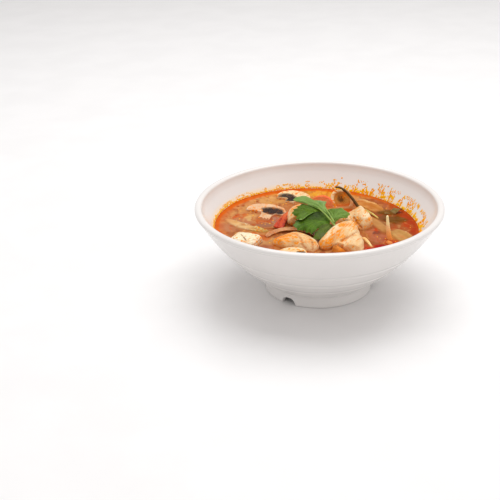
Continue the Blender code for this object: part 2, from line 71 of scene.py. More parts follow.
# Broth: its surface leans a little towards +x
LEVEL = 53.2                                                   # its height at x = LEAN_AXIS
LEAN = -0.026                                                  # rise per millimetre towards +x
LEAN_AXIS = -38.0
FLOAT_SHARE = 1.1                                              # how far thin pieces follow the lean
INTO_WALL = 0.35                                               # how far it reaches into the wall
BROTH_RADIUS = 82.0                                            # about where it meets the wall
SHEEN = 0.010                                                  # light of its gloss, taken off its colour
SEE_DEPTH = 2.6                                                # how deep a sunk piece still shows
MAP_CELL = 0.7                                                 # grid of what is sunk in it
MAP_SIZE = 240

# Small things
OIL_TRIES = 4600
LONE_DROP = (72.5, 61.0)                                       # direction, height
FLOATING_DROPS = 170
FLAKES = 26
STREWN_RADIUS = 77

# Camera
CAMERA_PLACE = (-56.21, -754.82, 384.44)
CAMERA_PITCH = 25.0                                            # down from level
CAMERA_ROLL = -1.415
LENS = 73.0
SENSOR_WIDTH = 36.0

rng = np.random.default_rng(7)


# ---------------------------------------------------------------- numbers

def linear(*colour):
    """A screen colour as scene-linear values."""
    c = np.array(colour, float) / 255
    return np.where(c <= 0.04045, c / 12.92, ((c + 0.055) / 1.055) ** 2.4)


def smooth(low, high, x):
    """0 below low, 1 above high, and an S-curve between them."""
    t = np.clip((np.asarray(x, float) - low) / (high - low), 0, 1)
    return t * t * (3 - 2 * t)


def points_of(x, y, z=0.0):
    """Points (..., 3) from their coordinates, each an array or a number."""
    return np.stack(np.broadcast_arrays(x, y, z), -1).astype(float)


def lattice(cell, seed):
    """A repeatable random number in -1..1 for each whole-numbered cell (n, 3)."""
    cell = cell.astype(np.int64)
    h = cell[:, 0] * 374761393 + cell[:, 1] * 668265263 + cell[:, 2] * 1440662683 + seed * 974634777
    h &= 0xFFFFFFFF
    for shift, factor in ((13, 1274126177), (15, 2246822519)):
        h = ((h ^ (h >> shift)) * factor) & 0xFFFFFFFF
    return ((h ^ (h >> 16)) & 0xFFFF) / 32767.5 - 1


def value_noise(points, size, seed):
    """Smooth noise in -1..1 at points (n, 3), with features of about `size`."""
    p = np.asarray(points, float) / size
    base = np.floor(p)
    f = p - base
    f = f * f * f * (f * (6 * f - 15) + 10)
    total = np.zeros(len(p))
    for corner in product((0, 1), repeat=3):
        total += np.prod(np.where(corner, f, 1 - f), axis=1) * lattice(base + corner, seed)
    return total


def fractal(points, size, seed, octaves=3):
    """Layered noise, about -1..1."""
    total = sum(0.5 ** k * value_noise(points, size / 2 ** k, seed + 31 * k) for k in range(octaves))
    return total / (2 - 2 * 0.5 ** octaves)


def bezier(points, t):
    """Points (n, 3) on a quadratic or cubic Bezier curve at the parameters t."""
    p = [np.array(point, float) for point in points]
    t = np.asarray(t, float)[:, None]
    while len(p) > 1:
        p = [a * (1 - t) + b * t for a, b in zip(p, p[1:])]
    return p[0]


def blend(a, b, weight):
    """Rows of a moved towards b by the weights."""
    weight = np.asarray(weight, float)[:, None]
    return np.asarray(a, float) * (1 - weight) + np.asarray(b, float) * weight


def laid_over(base, *layers):
    """A base with (colour, weights) laid over it in turn; tuples are screen colours, arrays linear."""
    colours = linear(*base) if isinstance(base, tuple) else base
    for colour, weights in layers:
        colours = blend(colours, linear(*colour) if isinstance(colour, tuple) else colour, weights)
    return colours


def unit(vectors):
    """Vectors (..., 3) at a length of 1."""
    return vectors / np.maximum(np.linalg.norm(vectors, axis=-1, keepdims=True), 1e-12)


def nearness(verts, place, radius):
    """1 at a place, and fading to 0 around it."""
    return np.exp(-np.sum((verts - place) ** 2, axis=1) / radius ** 2)


def round_ends(t, first, last, least=0.0):
    """A size factor that is rounded off at both ends of 0..1; its square is `least` or more."""
    return np.maximum(np.clip(t / first, 0, 1) * np.clip((1 - t) / last, 0, 1), least) ** 0.5


def full_turn(count):
    return np.linspace(0, tau, count, endpoint=False)


def squarish(phi, power):
    """The reach of a superellipse in the directions phi."""
    return (np.abs(np.cos(phi)) ** power + np.abs(np.sin(phi)) ** power) ** (-1 / power)


# ---------------------------------------------------------------- meshes

def sheet_faces(rows, columns, wrap=False):
    """Quads over a grid of points; with wrap, the last column joins the first."""
    i = np.arange(rows - 1)[:, None] * columns
    j = np.arange(columns if wrap else columns - 1)[None, :]
    n = (j + 1) % columns
    return np.stack([i + j, i + n, i + columns + n, i + columns + j], -1).reshape(-1, 4).tolist()


def tube(rings):
    """A closed mesh through rings (rows, columns, 3), its ends closed by fans."""
    rows, columns, _ = rings.shape
    verts = np.concatenate([rings.reshape(-1, 3), [rings[0].mean(0)], [rings[-1].mean(0)]])
    faces = sheet_faces(rows, columns, wrap=True)
    first, last = rows * columns, rows * columns + 1
    for j in range(columns):
        n = (j + 1) % columns
        faces.append([first, n, j])
        faces.append([last, (rows - 1) * columns + j, (rows - 1) * columns + n])
    return verts, faces


def per_ring(values, columns, ends):
    """A value of each ring, for every point of a tube and for its two ends."""
    return np.concatenate([np.repeat(values, columns), ends])


def round_rings(values, rows, ends=(0, 0)):
    """Values round a ring, for every point of a tube and for its two ends."""
    return np.concatenate([np.tile(values, rows), ends])


def crosswise(along):
    """The unit side and over directions of a path that runs along (n, 3)."""
    along = unit(along)
    side = unit(np.cross(along, (0, 0, 1)))
    return side, np.cross(side, along)


def joined(*parts):
    """Several (verts, faces, colours) as one."""
    starts = np.cumsum([0] + [len(part[0]) for part in parts])
    faces = [[i + int(start) for i in face] for part, start in zip(parts, starts) for face in part[1]]
    return np.concatenate([part[0] for part in parts]), faces, np.concatenate([part[2] for part in parts])


def placed(points, at, turn):
    """Points turned and then moved, as an object's rotation and location would."""
    matrix = np.array(Euler([radians(angle) for angle in turn]).to_matrix())
    return points @ matrix.T + np.array(at, float)


def link(name, data):
    """A new object of the scene."""
    made = bpy.data.objects.new(name, data)
    bpy.context.scene.collection.objects.link(made)
    return made


def add_piece(name, verts, faces, material, replaces=(), colours=None):
    """Make the mesh object, in metres, that rides on the bowl; colours (n, 3) are stored as "tint"."""
    mesh = bpy.data.meshes.new(name)
    mesh.from_pydata((np.asarray(verts) * MM).tolist(), [], faces)
    mesh.shade_smooth()
    mesh.materials.append(material)
    if colours is not None:
        attribute = mesh.color_attributes.new("tint", "FLOAT_COLOR", "POINT")
        rgba = np.ones((len(verts), 4), np.float32)
        rgba[:, :3] = colours
        attribute.data.foreach_set("color", rgba.ravel())
    mesh.validate()
    made = link(name, mesh)
    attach(made, "root")
    if replaces:
        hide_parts(*replaces)


def fused(parts, cell=0.42, softening=5):
    """One skin over several overlapping closed parts (verts, faces), with its creases softened."""
    verts, faces, _ = joined(*[(verts, faces, verts) for verts, faces in parts])
    mesh = bpy.data.meshes.new("parts")
    mesh.from_pydata(verts.tolist(), [], faces)
    whole = link("parts", mesh)
    skin = whole.modifiers.new("skin", "REMESH")
    skin.mode = "VOXEL"
    skin.voxel_size = cell
    soft = whole.modifiers.new("soft", "SMOOTH")
    soft.factor = 0.5
    soft.iterations = softening
    made = bpy.data.meshes.new_from_object(whole.evaluated_get(bpy.context.evaluated_depsgraph_get()))
    verts = np.zeros(len(made.vertices) * 3)
    made.vertices.foreach_get("co", verts)
    faces = [list(face.vertices) for face in made.polygons]
    bpy.data.objects.remove(whole)
    bpy.data.meshes.remove(mesh)
    bpy.data.meshes.remove(made)
    return verts.reshape(-1, 3), faces


def raised(verts, faces, relief):
    """Points moved outwards by the relief, along normals from the faces' own order."""
    verts = np.asarray(verts, float)
    normals = np.zeros_like(verts)
    quads = np.array([f if len(f) == 4 else list(f) + [f[-1]] for f in faces])
    face_normals = np.cross(verts[quads[:, 2]] - verts[quads[:, 0]], verts[quads[:, 3]] - verts[quads[:, 1]])
    for k in range(4):
        np.add.at(normals, quads[:, k], face_normals)
    return verts + unit(normals) * relief[:, None]


# ---------------------------------------------------------------- materials

def add_node(tree, kind, inputs=None, **settings):
    """A node whose inputs are set to values or linked to sockets."""
    made = tree.nodes.new(kind)
    for key, value in settings.items():
        setattr(made, key, value)
    for key, value in (inputs or {}).items():
        if isinstance(value, bpy.types.NodeSocket):
            tree.links.new(value, made.inputs[key])
        else:
            made.inputs[key].default_value = value
    return made


def math_node(tree, operation, a, b, c=0.0):
    return add_node(tree, "ShaderNodeMath", {0: a, 1: b, 2: c}, operation=operation).outputs[0]


def vector_node(tree, operation, a, b):
    """Its outputs; b is the scale of a SCALE."""
    second = 3 if operation == "SCALE" else 1
    return add_node(tree, "ShaderNodeVectorMath", {0: a, second: b}, operation=operation).outputs


def times(tree, first, *factors):
    """The product of sockets and numbers."""
    for factor in factors:
        first = math_node(tree, "MULTIPLY", first, factor)
    return first


def object_place(tree):
    return add_node(tree, "ShaderNodeTexCoord").outputs["Object"]


def passing(tree, value, low, high):
    """0..1, softly, as a value passes from low to high."""
    inputs = {"Value": value, "From Min": low, "From Max": high}
    return add_node(tree, "ShaderNodeMapRange", inputs, interpolation_type="SMOOTHSTEP").outputs[0]


def noise_mask(tree, size, low, high, detail=3.0, distortion=0.0, offset=0.0):
    """0..1 where noise with features of about `size` mm passes from low to high."""
    shift = (offset, offset * 0.7, offset * 1.3)
    mapped = add_node(tree, "ShaderNodeMapping", {"Vector": object_place(tree), "Location": shift}).outputs[0]
    inputs = {"Vector": mapped, "Scale": 1000 / size, "Detail": detail, "Distortion": distortion}
    return passing(tree, add_node(tree, "ShaderNodeTexNoise", inputs).outputs["Fac"], low, high)


def dotted_mask(tree, spacing, radius):
    """1 in ragged dots about `spacing` mm apart, and 0 between them."""
    place = object_place(tree)
    ragged = add_node(tree, "ShaderNodeTexNoise", {"Vector": place, "Scale": 1000 / 1.4, "Detail": 2.0})
    shift = vector_node(tree, "SCALE", ragged.outputs["Color"], 1.6 * MM)[0]
    moved = vector_node(tree, "ADD", place, shift)[0]
    cells = add_node(tree, "ShaderNodeTexVoronoi", {"Vector": moved, "Scale": 1000 / spacing})
    share = radius / spacing
    return passing(tree, cells.outputs["Distance"], share, 0.6 * share)


def over_broth(tree, low, high):
    """0..1 as the height over the broth's leaning surface passes from low to high, in mm."""
    parts = add_node(tree, "ShaderNodeSeparateXYZ", {"Vector": object_place(tree)})
    upright = math_node(tree, "SUBTRACT", parts.outputs["Z"], times(tree, parts.outputs["X"], LEAN))
    height = math_node(tree, "SUBTRACT", upright, (LEVEL - LEAN * LEAN_AXIS) * MM)
    return passing(tree, height, low * MM, high * MM)


def mixed(tree, factor, a, b, mode="MIX"):
    """Colour a mixed with colour b; a tuple is a screen colour, and an array is linear."""
    made = add_node(tree, "ShaderNodeMix", {0: factor}, data_type="RGBA", blend_type=mode)
    for key, value in ((6, a), (7, b)):
        if isinstance(value, bpy.types.NodeSocket):
            tree.links.new(value, made.inputs[key])
        else:
            value = linear(*value) if isinstance(value, tuple) else value
            made.inputs[key].default_value = (*value, 1.0)
    return made.outputs[2]


def new_material(name, roughness, specular=0.5, subsurface=0.0, radius=(1.0, 0.4, 0.2), coat=0.0):
    """A Principled material; returns it, its tree and its shader."""
    made = bpy.data.materials.new(name)
    made.use_nodes = True
    shader = made.node_tree.nodes["Principled BSDF"]
    values = {"Roughness": roughness, "Specular IOR Level": specular, "Subsurface Weight": subsurface,
              "Subsurface Radius": radius, "Subsurface Scale": 3 * MM, "Coat Weight": coat,
              "Coat Roughness": 0.08}
    for key, value in values.items():
        shader.inputs[key].default_value = value
    return made, made.node_tree, shader


def finish(tree, shader, colour, relief=None, strength=0.0, distance=0.0):
    """Link the colour, and relief with its distance in mm."""
    tree.links.new(colour, shader.inputs["Base Color"])
    if relief is not None:
        inputs = {"Height": relief, "Strength": strength, "Distance": distance * MM}
        tree.links.new(add_node(tree, "ShaderNodeBump", inputs).outputs[0], shader.inputs["Normal"])


def tint(tree):
    """The colour stored on the mesh."""
    return add_node(tree, "ShaderNodeVertexColor", layer_name="tint").outputs["Color"]


def inside_mask(tree):
    """1 on the side of the bowl's wall that faces its axis."""
    geometry = add_node(tree, "ShaderNodeNewGeometry").outputs
    from_axis = vector_node(tree, "MULTIPLY", geometry["Position"], (1, 1, 0))[0]
    facing = vector_node(tree, "DOT_PRODUCT", from_axis, geometry["True Normal"])["Value"]
    return math_node(tree, "LESS_THAN", facing, 0.0)


def bowl_material():
    """White melamine: satin and smooth, filmed with chilli oil just over the soup."""
    made, tree, shader = new_material("white_melamine", 0.22)
    white = mixed(tree, noise_mask(tree, 40, 0.3, 0.7), (236, 232, 229), (233, 229, 226))
    low_band = over_broth(tree, 2.6, 1.2)
    film = math_node(tree, "MAXIMUM", over_broth(tree, 6.0, 0.8), low_band)
    blotches = noise_mask(tree, 3.4, 0.22, 0.56, detail=5, distortion=0.5)
    blotches = math_node(tree, "MAXIMUM", blotches, times(tree, low_band, 0.85))
    stain = times(tree, over_broth(tree, -0.5, 0.6), film, blotches, inside_mask(tree), 0.72)
    rough = math_node(tree, "MULTIPLY_ADD", noise_mask(tree, 8, 0.3, 0.7), 0.04, 0.20)
    tree.links.new(rough, shader.inputs["Roughness"])
    colour = mixed(tree, stain, white, (254, 216, 136))
    finish(tree, shader, colour, noise_mask(tree, 22, 0.2, 0.8, detail=1), 0.08, 0.10)
    return made


def broth_material():
    """Cloudy broth: its colour is worked out on the mesh, with fine mottling added here."""
    made, tree, shader = new_material("cloudy_broth", 0.12, specular=0.02)
    mottling = noise_mask(tree, 6.0, 0.40, 0.75, detail=2)
    mottled = mixed(tree, mottling, tint(tree), np.array((0.92, 0.80, 0.68)), "MULTIPLY")
    finish(tree, shader, mottled, noise_mask(tree, 9, 0.2, 0.8, detail=2), 0.12, 0.25)
    return made


def oil_material():
    """Chilli oil: saturated orange and glossy."""
    made, tree, shader = new_material("chilli_oil", 0.15, specular=0.08, subsurface=0.1,
                                      radius=(1.0, 0.5, 0.1))
    finish(tree, shader, mixed(tree, noise_mask(tree, 5, 0.35, 0.65), (255, 190, 20), (252, 158, 2)))
    return made


def flesh_material(name, specks, speck_colour, roughness, subsurface, wet, size=2.4, ring=1.3, dots=None,
                   rim=(222, 98, 12), painted_glow=0.0):
    """Soft wet food with its colour from the mesh, oil specks, a line at the waterline in the rim colour, and
    a faint glow of painted light.
    """
    made, tree, shader = new_material(name, roughness, specular=0.09, subsurface=subsurface,
                                      radius=(1.0, 0.7, 0.45), coat=wet * 0.10)
    # The glow is a faint warm emission: painted light that brightens a piece as if more light fell on it.
    shader.inputs["Emission Color"].default_value = (1.0, 0.75, 0.35, 1.0)
    shader.inputs["Emission Strength"].default_value = painted_glow
    fine = mixed(tree, noise_mask(tree, 1.1, 0.3, 0.7), tint(tree), np.array((0.93, 0.88, 0.82)), "MULTIPLY")
    low = 0.62 - specks * 0.12
    mask = times(tree, noise_mask(tree, size, low, low + 0.08, detail=4, distortion=0.6),
                 noise_mask(tree, size * 3.2, 0.38, 0.58, detail=2, offset=3.0))
    if dots:
        mask = math_node(tree, "MAXIMUM", mask, dotted_mask(tree, *dots))
    bright = add_node(tree, "ShaderNodeRGBToBW", {"Color": tint(tree)}).outputs[0]
    not_dark = math_node(tree, "MINIMUM", times(tree, bright, 5.0), 1.0)
    speckled = mixed(tree, times(tree, mask, not_dark), fine, speck_colour)
    # A line just over the waterline in the rim colour: oil in the default orange, and painted shade where the
    # rim is dark brown.
    waterline = times(tree, over_broth(tree, ring, 0.2), noise_mask(tree, 2.0, 0.25, 0.6, offset=1.0), 0.7)
    finish(tree, shader, mixed(tree, waterline, speckled, rim), noise_mask(tree, 1.6, 0.2, 0.8), 0.35, 0.25)
    return made


def leaf_material(name, roughness):
    """A leaf: colour from the mesh, with fine cell relief."""
    made, tree, shader = new_material(name, roughness, specular=0.10, subsurface=0.1, radius=(0.4, 1.0, 0.2))
    fine = mixed(tree, noise_mask(tree, 0.9, 0.3, 0.7), tint(tree), np.array((0.86, 0.92, 0.80)), "MULTIPLY")
    finish(tree, shader, fine, noise_mask(tree, 0.7, 0.2, 0.8), 0.35, 0.15)
    return made


# ---------------------------------------------------------------- bowl and the broth's level

def inner_wall(t):
    """(radius, height) rows of the inner wall, from under the lip (0) to the floor (1)."""
    return bezier((INNER_TOP, INNER_BELLY, INNER_FLOOR), t)


def outer_wall(t):
    """Rows of the outer wall, from under the lip (0) to the foot (1), softly stepped at its rings."""
    wall = bezier((WALL_TOP, WALL_BELLY, (FOOT_RADIUS, FOOT_HEIGHT)), t)
    for height, depth in TURNED_RINGS:
        away = (wall[:, 1] - height) / RING_HALF_WIDTH
        wall[:, 0] -= depth * smooth(-0.9, 0.1, away) * (1 - smooth(0.1, 1.6, away))
    return wall


WALL_STEPS = np.linspace(0, 1, 2001)
WALL = inner_wall(WALL_STEPS)


def broth_level(x):
    return LEVEL + LEAN * (x - LEAN_AXIS)


def afloat(x, y, z):
    """The place of something thin, moved with the leaning surface it floats on."""
    return (x, y, z + FLOAT_SHARE * (broth_level(x) - LEVEL))


def broth_edge(angle):
    """(radius, wall parameter) where the broth meets the wall in each direction."""
    radius = np.full(np.shape(angle), BROTH_RADIUS)
    for _ in range(5):
        radius = np.interp(-broth_level(radius * np.cos(angle)), -WALL[:, 1], WALL[:, 0])
    return radius, np.interp(-broth_level(radius * np.cos(angle)), -WALL[:, 1], WALL_STEPS)


def rounded(points, radius, steps=5):
    """A path of (radius, height) corners with each inner corner rounded off."""
    points = [np.array(point, float) for point in points]
    path = [points[0]]
    for before, corner, after in zip(points, points[1:], points[2:]):
        cut = min(radius, np.linalg.norm(before - corner) * 0.45, np.linalg.norm(after - corner) * 0.45)
        bend = (corner + unit(before - corner) * cut, corner, corner + unit(after - corner) * cut)
        path += list(bezier(bend, np.linspace(0, 1, steps)))
    return np.array(path + [points[-1]])


def bowl_profile():
    """The turned half section, from the middle of the inner floor to the middle of the recess."""
    floor = [(0.0, INNER_FLOOR[1] - 0.3), (12, INNER_FLOOR[1] - 0.3), (24, INNER_FLOOR[1] - 0.15)]
    inner = inner_wall(np.linspace(1, 0.06, 54))
    lip_radius = RIM_RADIUS - LIP_WIDTH / 2
    lip_height = BOWL_HEIGHT - LIP_DEPTH / 2
    lip_edge = (RIM_RADIUS - LIP_WIDTH, lip_height + 0.3)
    bend = (lip_edge[0] - 0.35, lip_edge[1] - 2.6)
    bend = bezier((inner[-1], bend, lip_edge), np.linspace(0, 1, 14)[1:-1])
    a = np.radians(np.linspace(172, -45, 26))
    lip = np.stack([lip_radius + LIP_WIDTH / 2 * np.cos(a), lip_height + LIP_DEPTH / 2 * np.sin(a)], 1)
    inside = FOOT_WIDTH
    foot = ((0.2, FOOT_HEIGHT * 0.80), (0.5, FOOT_HEIGHT * 0.55), (0.4, 0.9), (1.2, 0), (inside - 1.0, 0),
            (inside, 1.0), (inside + 0.8, RECESS_DEPTH - 1.5), (inside + 3.0, RECESS_DEPTH))
    foot = [(FOOT_RADIUS - inwards, height) for inwards, height in foot] + [(20, RECESS_DEPTH)]
    outer = outer_wall(np.linspace(0, 1, 110))
    return np.concatenate([floor, inner, bend, lip, outer, rounded(foot, 0.8), [(0.0, RECESS_DEPTH)]])


def notch_lift(angle):
    """How high the foot's underside is arched at an angle (radians): the drain notches."""
    away = np.min([np.abs((angle - middle + pi) % tau - pi) for middle in NOTCH_MIDDLES], axis=0)
    share = np.clip(away * FOOT_MIDDLE / (NOTCH_WIDTH / 2), 0, 1)
    return NOTCH_HEIGHT * (1 - share ** 3.2) ** 0.9


def bowl_angles():
    """Evenly spaced angles, with many more at the notches."""
    half = 1.15 * NOTCH_WIDTH / 2 / FOOT_MIDDLE
    close = [(middle + np.linspace(-half, half, 30)) % tau for middle in NOTCH_MIDDLES]
    angles = np.sort(np.concatenate([full_turn(160)] + close))
    return angles[np.concatenate([[True], np.diff(angles) > 1e-3])]


def make_bowl():
    profile = bowl_profile()
    angles = bowl_angles()
    radius, height = profile[1:-1, 0, None], profile[1:-1, 1, None]
    inside_foot = FOOT_RADIUS - FOOT_WIDTH
    low = (height < FOOT_HEIGHT) & (radius > inside_foot - 3.2)
    lift = notch_lift(angles)[None, :]
    arched = lift + height * (FOOT_HEIGHT - lift) / FOOT_HEIGHT
    in_recess = np.minimum(np.maximum(height, arched), RECESS_DEPTH)
    arched = np.where(radius < inside_foot + 0.5, in_recess, arched)
    points = points_of(radius * np.cos(angles), radius * np.sin(angles), np.where(low, arched, height))
    verts, faces = tube(points)
    verts[-2:] = [(0, 0, profile[0][1]), (0, 0, profile[-1][1])]
    add_piece("bowl_fine", verts, faces, bowl_material(), ["bowl"])


# ---------------------------------------------------------------- shrimps

sunk = []                                                      # (points, colours) of the food, for the broth


def add_food(name, verts, faces, colours, material, slot, node):
    """A piece of food in place of a node, if any; what is under the surface tints the broth over it."""
    sunk.append((verts, colours))
    add_piece(name, verts, faces, material, [node] if node else (), colours)


def shrimp_body(spine, girth, taper, belly=0.55, rows=170, columns=72):
    """A curled peeled body, its belly drawn in towards the curl's middle."""
    t = np.linspace(0, 1, rows)
    before, centre, after = (bezier(spine, t + step) for step in (-0.02, 0, 0.02))
    side, over = crosswise(after - before)
    bend = (before + after - 2 * centre) / np.sum((after - centre) ** 2, axis=1)[:, None]
    curvature = np.linalg.norm(bend, axis=1)
    phi = full_turn(columns)
    around = side[:, None] * np.cos(phi)[:, None] + over[:, None] * np.sin(phi)[:, None]
    inward = np.einsum("rck,rk->rc", around, bend / np.maximum(curvature, 1e-9)[:, None])
    within = (t * 6 + 0.1) % 1
    groove = smooth(0.16, 0.0, np.minimum(within, 1 - within))
    size = (1 - taper * t ** 1.6) * (1 - 0.022 * groove) * round_ends(t, 0.10, 0.07, 0.02 ** 2)
    reach = girth * size[:, None] * (1 + belly * np.clip(inward, 0, 1) ** 1.4)
    limit = 0.96 / np.maximum(curvature[:, None] * np.maximum(inward, 0.05), 1e-6)
    reach = np.where(inward > 0.05, np.minimum(reach, np.maximum(limit, 0.3)), reach)
    return tube(centre[:, None] + around * reach[..., None])


def crease_depth(verts, path, width=0.9):
    """1 in a crease that follows a path laid on the surface, 0 away from it."""
    steps = np.linspace(0, 1, 9)[:, None]
    laid = [np.array(a) * (1 - steps) + np.array(b) * steps for a, b in zip(path, path[1:])]
    nearest = np.full(len(verts), np.inf)
    for place in np.concatenate(laid):
        on_skin = verts[np.argmin(np.sum((verts - place) ** 2, axis=1))]
        nearest = np.minimum(nearest, np.sum((verts - on_skin) ** 2, axis=1))
    return np.exp(-nearest / width ** 2)


def shrimp_skin(verts, faces, grain, hot, seed, creases=()):
    """Relief and colours: cream flesh with its grain in a direction, oily where it is hot, a painted
    highlight on its high ridges, and oil with painted shade in its creases.
    """
    a = radians(grain)
    along = verts[:, 0] * cos(a) + verts[:, 1] * sin(a)
    across = verts[:, 1] * cos(a) - verts[:, 0] * sin(a)
    streaks = fractal(points_of(along / 7, across / 0.9, verts[:, 2] / 0.9), 1.0, seed)
    muscle = fractal(points_of(along / 26, across / 4.5, verts[:, 2] / 4.5), 1.0, seed + 5, octaves=2)
    spots = fractal(verts, 1.3, seed + 1)
    clouds = fractal(verts, 8, seed + 2)
    heat = sum(amount * nearness(verts, place, radius) for place, radius, amount in hot)
    low = smooth(4.5, 0.5, verts[:, 2] - broth_level(verts[:, 0]))
    oily = 0.72 * streaks + 0.36 * spots + 0.9 * heat - 0.25 * muscle + 0.10 * low
    folds = np.max([np.zeros(len(verts))] + [crease_depth(verts, path) for path in creases], axis=0)
    relief = 0.12 * fractal(verts, 5.5, seed + 3) + 0.55 * muscle - 0.10 * streaks - 0.95 * folds
    verts = raised(verts, faces, relief)
    colours = laid_over(
        (240, 208, 160),
        ((230, 176, 110), np.clip(0.25 + 0.5 * clouds - 0.9 * muscle + 0.6 * low, 0, 0.9)),
        # Painted highlight: paler on the muscle ridges high on the body.
        ((252, 235, 202), 0.5 * smooth(0.12, 0.45, muscle) * smooth(58, 61, verts[:, 2])),
        ((228, 150, 66), 0.40 * smooth(0.10, 0.55, heat + 0.15 * clouds)),
        ((248, 148, 0), 0.92 * smooth(0.29, 0.46, oily)),
        ((206, 62, 8), 0.80 * smooth(0.85, 1.10, oily)),
        # The creases: oil gathered in them, darkened as painted shade.
        ((206, 116, 48), 0.60 * folds),
    )
    return verts, faces, colours


def shrimp_tail(spine, seed, rows=80, columns=40):
    """The shelled last ring and fan: flattened, red and ribbed."""
    t = np.linspace(0, 1, rows)
    side, over = crosswise(bezier(spine, t + 0.02) - bezier(spine, t - 0.02))
    ends = round_ends(t, 0.06, 0.05, 0.03 ** 2)
    phi = full_turn(columns)
    ribs = 1 + 0.10 * np.cos(7 * phi) * smooth(0.3, 0.9, t)[:, None]
    wide = ((2.0 + 2.4 * t) * ends)[:, None] * np.cos(phi) * ribs
    high = ((2.4 - 1.6 * t) * ends)[:, None] * np.sin(phi) * ribs
    rings = bezier(spine, t)[:, None] + side[:, None] * wide[..., None] + over[:, None] * high[..., None]
    verts, faces = tube(rings)
    lines = smooth(0.1, 0.8, np.cos(5 * round_rings(phi, rows) + 1.6 * fractal(verts, 4, seed + 3)))
    colours = laid_over(
        (228, 118, 60),
        ((204, 66, 22), smooth(0.1, 0.9, per_ring(t, columns, (0, 1)))),
        ((140, 10, 4), 0.95 * lines * np.clip(0.6 + fractal(verts, 2.5, seed), 0, 1)),
    )
    return verts, faces, colours


# Each shrimp: its bodies (spine, girth, taper, belly), soft pulls on its skin (place, radius, move), the
# direction of its grain, its oily places (place, radius, amount), its seed, and creases laid on its skin.
SHRIMPS = {
    "shrimp_right": (
        ((((25, -18, 56), (18, -18, 58.5), (9, -31, 57.5), (-1, -46.5, 54.5)), 7.3, 0.35),
         (((22, -55, 53), (26.5, -48, 55), (26.5, -31, 56.5), (22, -20, 56)), 6.7, 0.05),
         (((22, -21, 56), (18, -31, 58.2), (15, -40, 56.8), (13, -47, 53.6)), 6.4, 0.20)),
        (((26, -21, 62), 5, (1.5, -1.0, 1.0)), ((29, -32, 60), 3.5, (-1.6, 0.5, -1.6)),
         ((24, -38, 62), 2.6, (-0.6, 0, -1.6)), ((20, -43, 62), 2.4, (0, 0, -1.5)),
         ((15, -46.5, 61), 2.4, (0, 0, -1.3))),
        -122,
        (((20, -23, 63), 7, 0.45), ((9, -32, 61), 8, 0.34), ((15, -40, 62), 8, 0.24), ((0, -44, 57), 8, 0.36),
         ((17.6, -24.5, 62.5), 2.6, 0.7), ((24, -50, 58), 5, 0.16), ((27, -27, 61), 3, 0.35)),
        21,
        (((28.2, -31.5, 59.5), (23.4, -37.5, 60.5), (19.4, -41, 60.3), (14.2, -43.5, 57.5)),),
    ),
    "shrimp_front": (
        ((((-9, -50, 52.5), (-8, -29, 54.5), (-27, -28, 54.5), (-37, -38, 53.5)), 6.9, 0.30, 1.1),),
        (((-20, -31, 60), 7, (0, 1.0, 1.0)),),
        -10,
        (((-36, -32, 57), 6, 0.60), ((-28, -34, 60), 6, 0.42), ((-31, -37, 57), 6, 0.34),
         ((-20, -33, 61), 5, 0.26), ((-8, -36, 58), 6, 0.16)),
        31,
        (((-21.2, -33, 59), (-16.3, -42, 58.2), (-14.3, -50, 56)),
         ((-12, -33, 58.5), (-8.5, -44, 57.5), (-7, -53, 56))),
    ),
    "shrimp_back": (
        ((((34, -9, 51.5), (43, 17, 59.0), (28, 15, 54.5), (18.5, 2, 52.0)), 7.2, 0.42, 1.0),),
        (((34, 12, 62), 3.6, (0.3, 0.0, 2.6)), ((40, -3, 58), 6, (1.2, 0, 0.6)),
         ((30, -4, 59), 3.5, (0, 1.0, -1.6))),
        75,
        (((33, 15, 63.5), 3.0, 0.7), ((38.5, 7.6, 60), 3.4, 0.45), ((41, -3, 57), 5, 0.4),
         ((29.4, -4.5, 58), 4.5, 0.72), ((20, 1, 56), 8, 0.36)),
        41,
        (((28.2, 1, 59), (28.8, -7, 58), (30.5, -15, 56.5)),),
    ),
}


def make_shrimps():
    flesh = flesh_material("shrimp_flesh", 0.0, (232, 112, 10), roughness=0.26, subsurface=0.12, wet=0.6)
    body = shrimp_body(((-18, 1, 54), (-21, 8, 58), (-20, 22, 58.5), (-9, 26, 57)), 6.2, 0.35)
    for node, (bodies, pulls, grain, hot, seed, creases) in SHRIMPS.items():
        verts, faces = fused([shrimp_body(*row) for row in bodies])
        for place, radius, move in pulls:
            verts = verts + nearness(verts, place, radius)[:, None] * np.array(move, float)
        add_food(node + "_fine", *shrimp_skin(verts, faces, grain, hot, seed, creases), flesh, "shrimp", node)
    tail = shrimp_tail(((-21, 17.5, 57), (-26, 15, 58), (-30, 3, 56.5), (-33, -7, 54.5)), 12)
    skin = shrimp_skin(*body, 60, (((-20, 4, 58), 6, 0.3), ((-12, 22, 60), 6, 0.2)), 11)
    add_food("shrimp_left_fine", *joined(skin, tail), flesh, "shrimp", "shrimp_left")


# ---------------------------------------------------------------- what is cut up in the soup

def polar_reach(outline, centre, angles):
    """How far a closed outline reaches from a centre in each direction (radians)."""
    a = np.array(outline, float) - centre
    edge = np.roll(a, -1, axis=0) - a
    reach = np.zeros(len(angles))
    for k, angle in enumerate(angles):
        dx, dy = cos(angle), sin(angle)
        cross = dx * edge[:, 1] - dy * edge[:, 0]
        cross = np.where(np.abs(cross) < 1e-9, 1e-9, cross)
        away = (a[:, 0] * edge[:, 1] - a[:, 1] * edge[:, 0]) / cross
        share = (a[:, 0] * dy - a[:, 1] * dx) / cross
        hits = (away > 0) & (share >= 0) & (share <= 1)
        reach[k] = away[hits].max() if hits.any() else 0.1
    return reach


def soft_outline(points, rounds):
    """A closed outline with its corners cut."""
    points = np.array(points, float)
    for _ in range(rounds):
        after = np.roll(points, -1, axis=0)
        points = np.stack([points * 0.75 + after * 0.25, points * 0.25 + after * 0.75], 1).reshape(-1, 2)
    return points


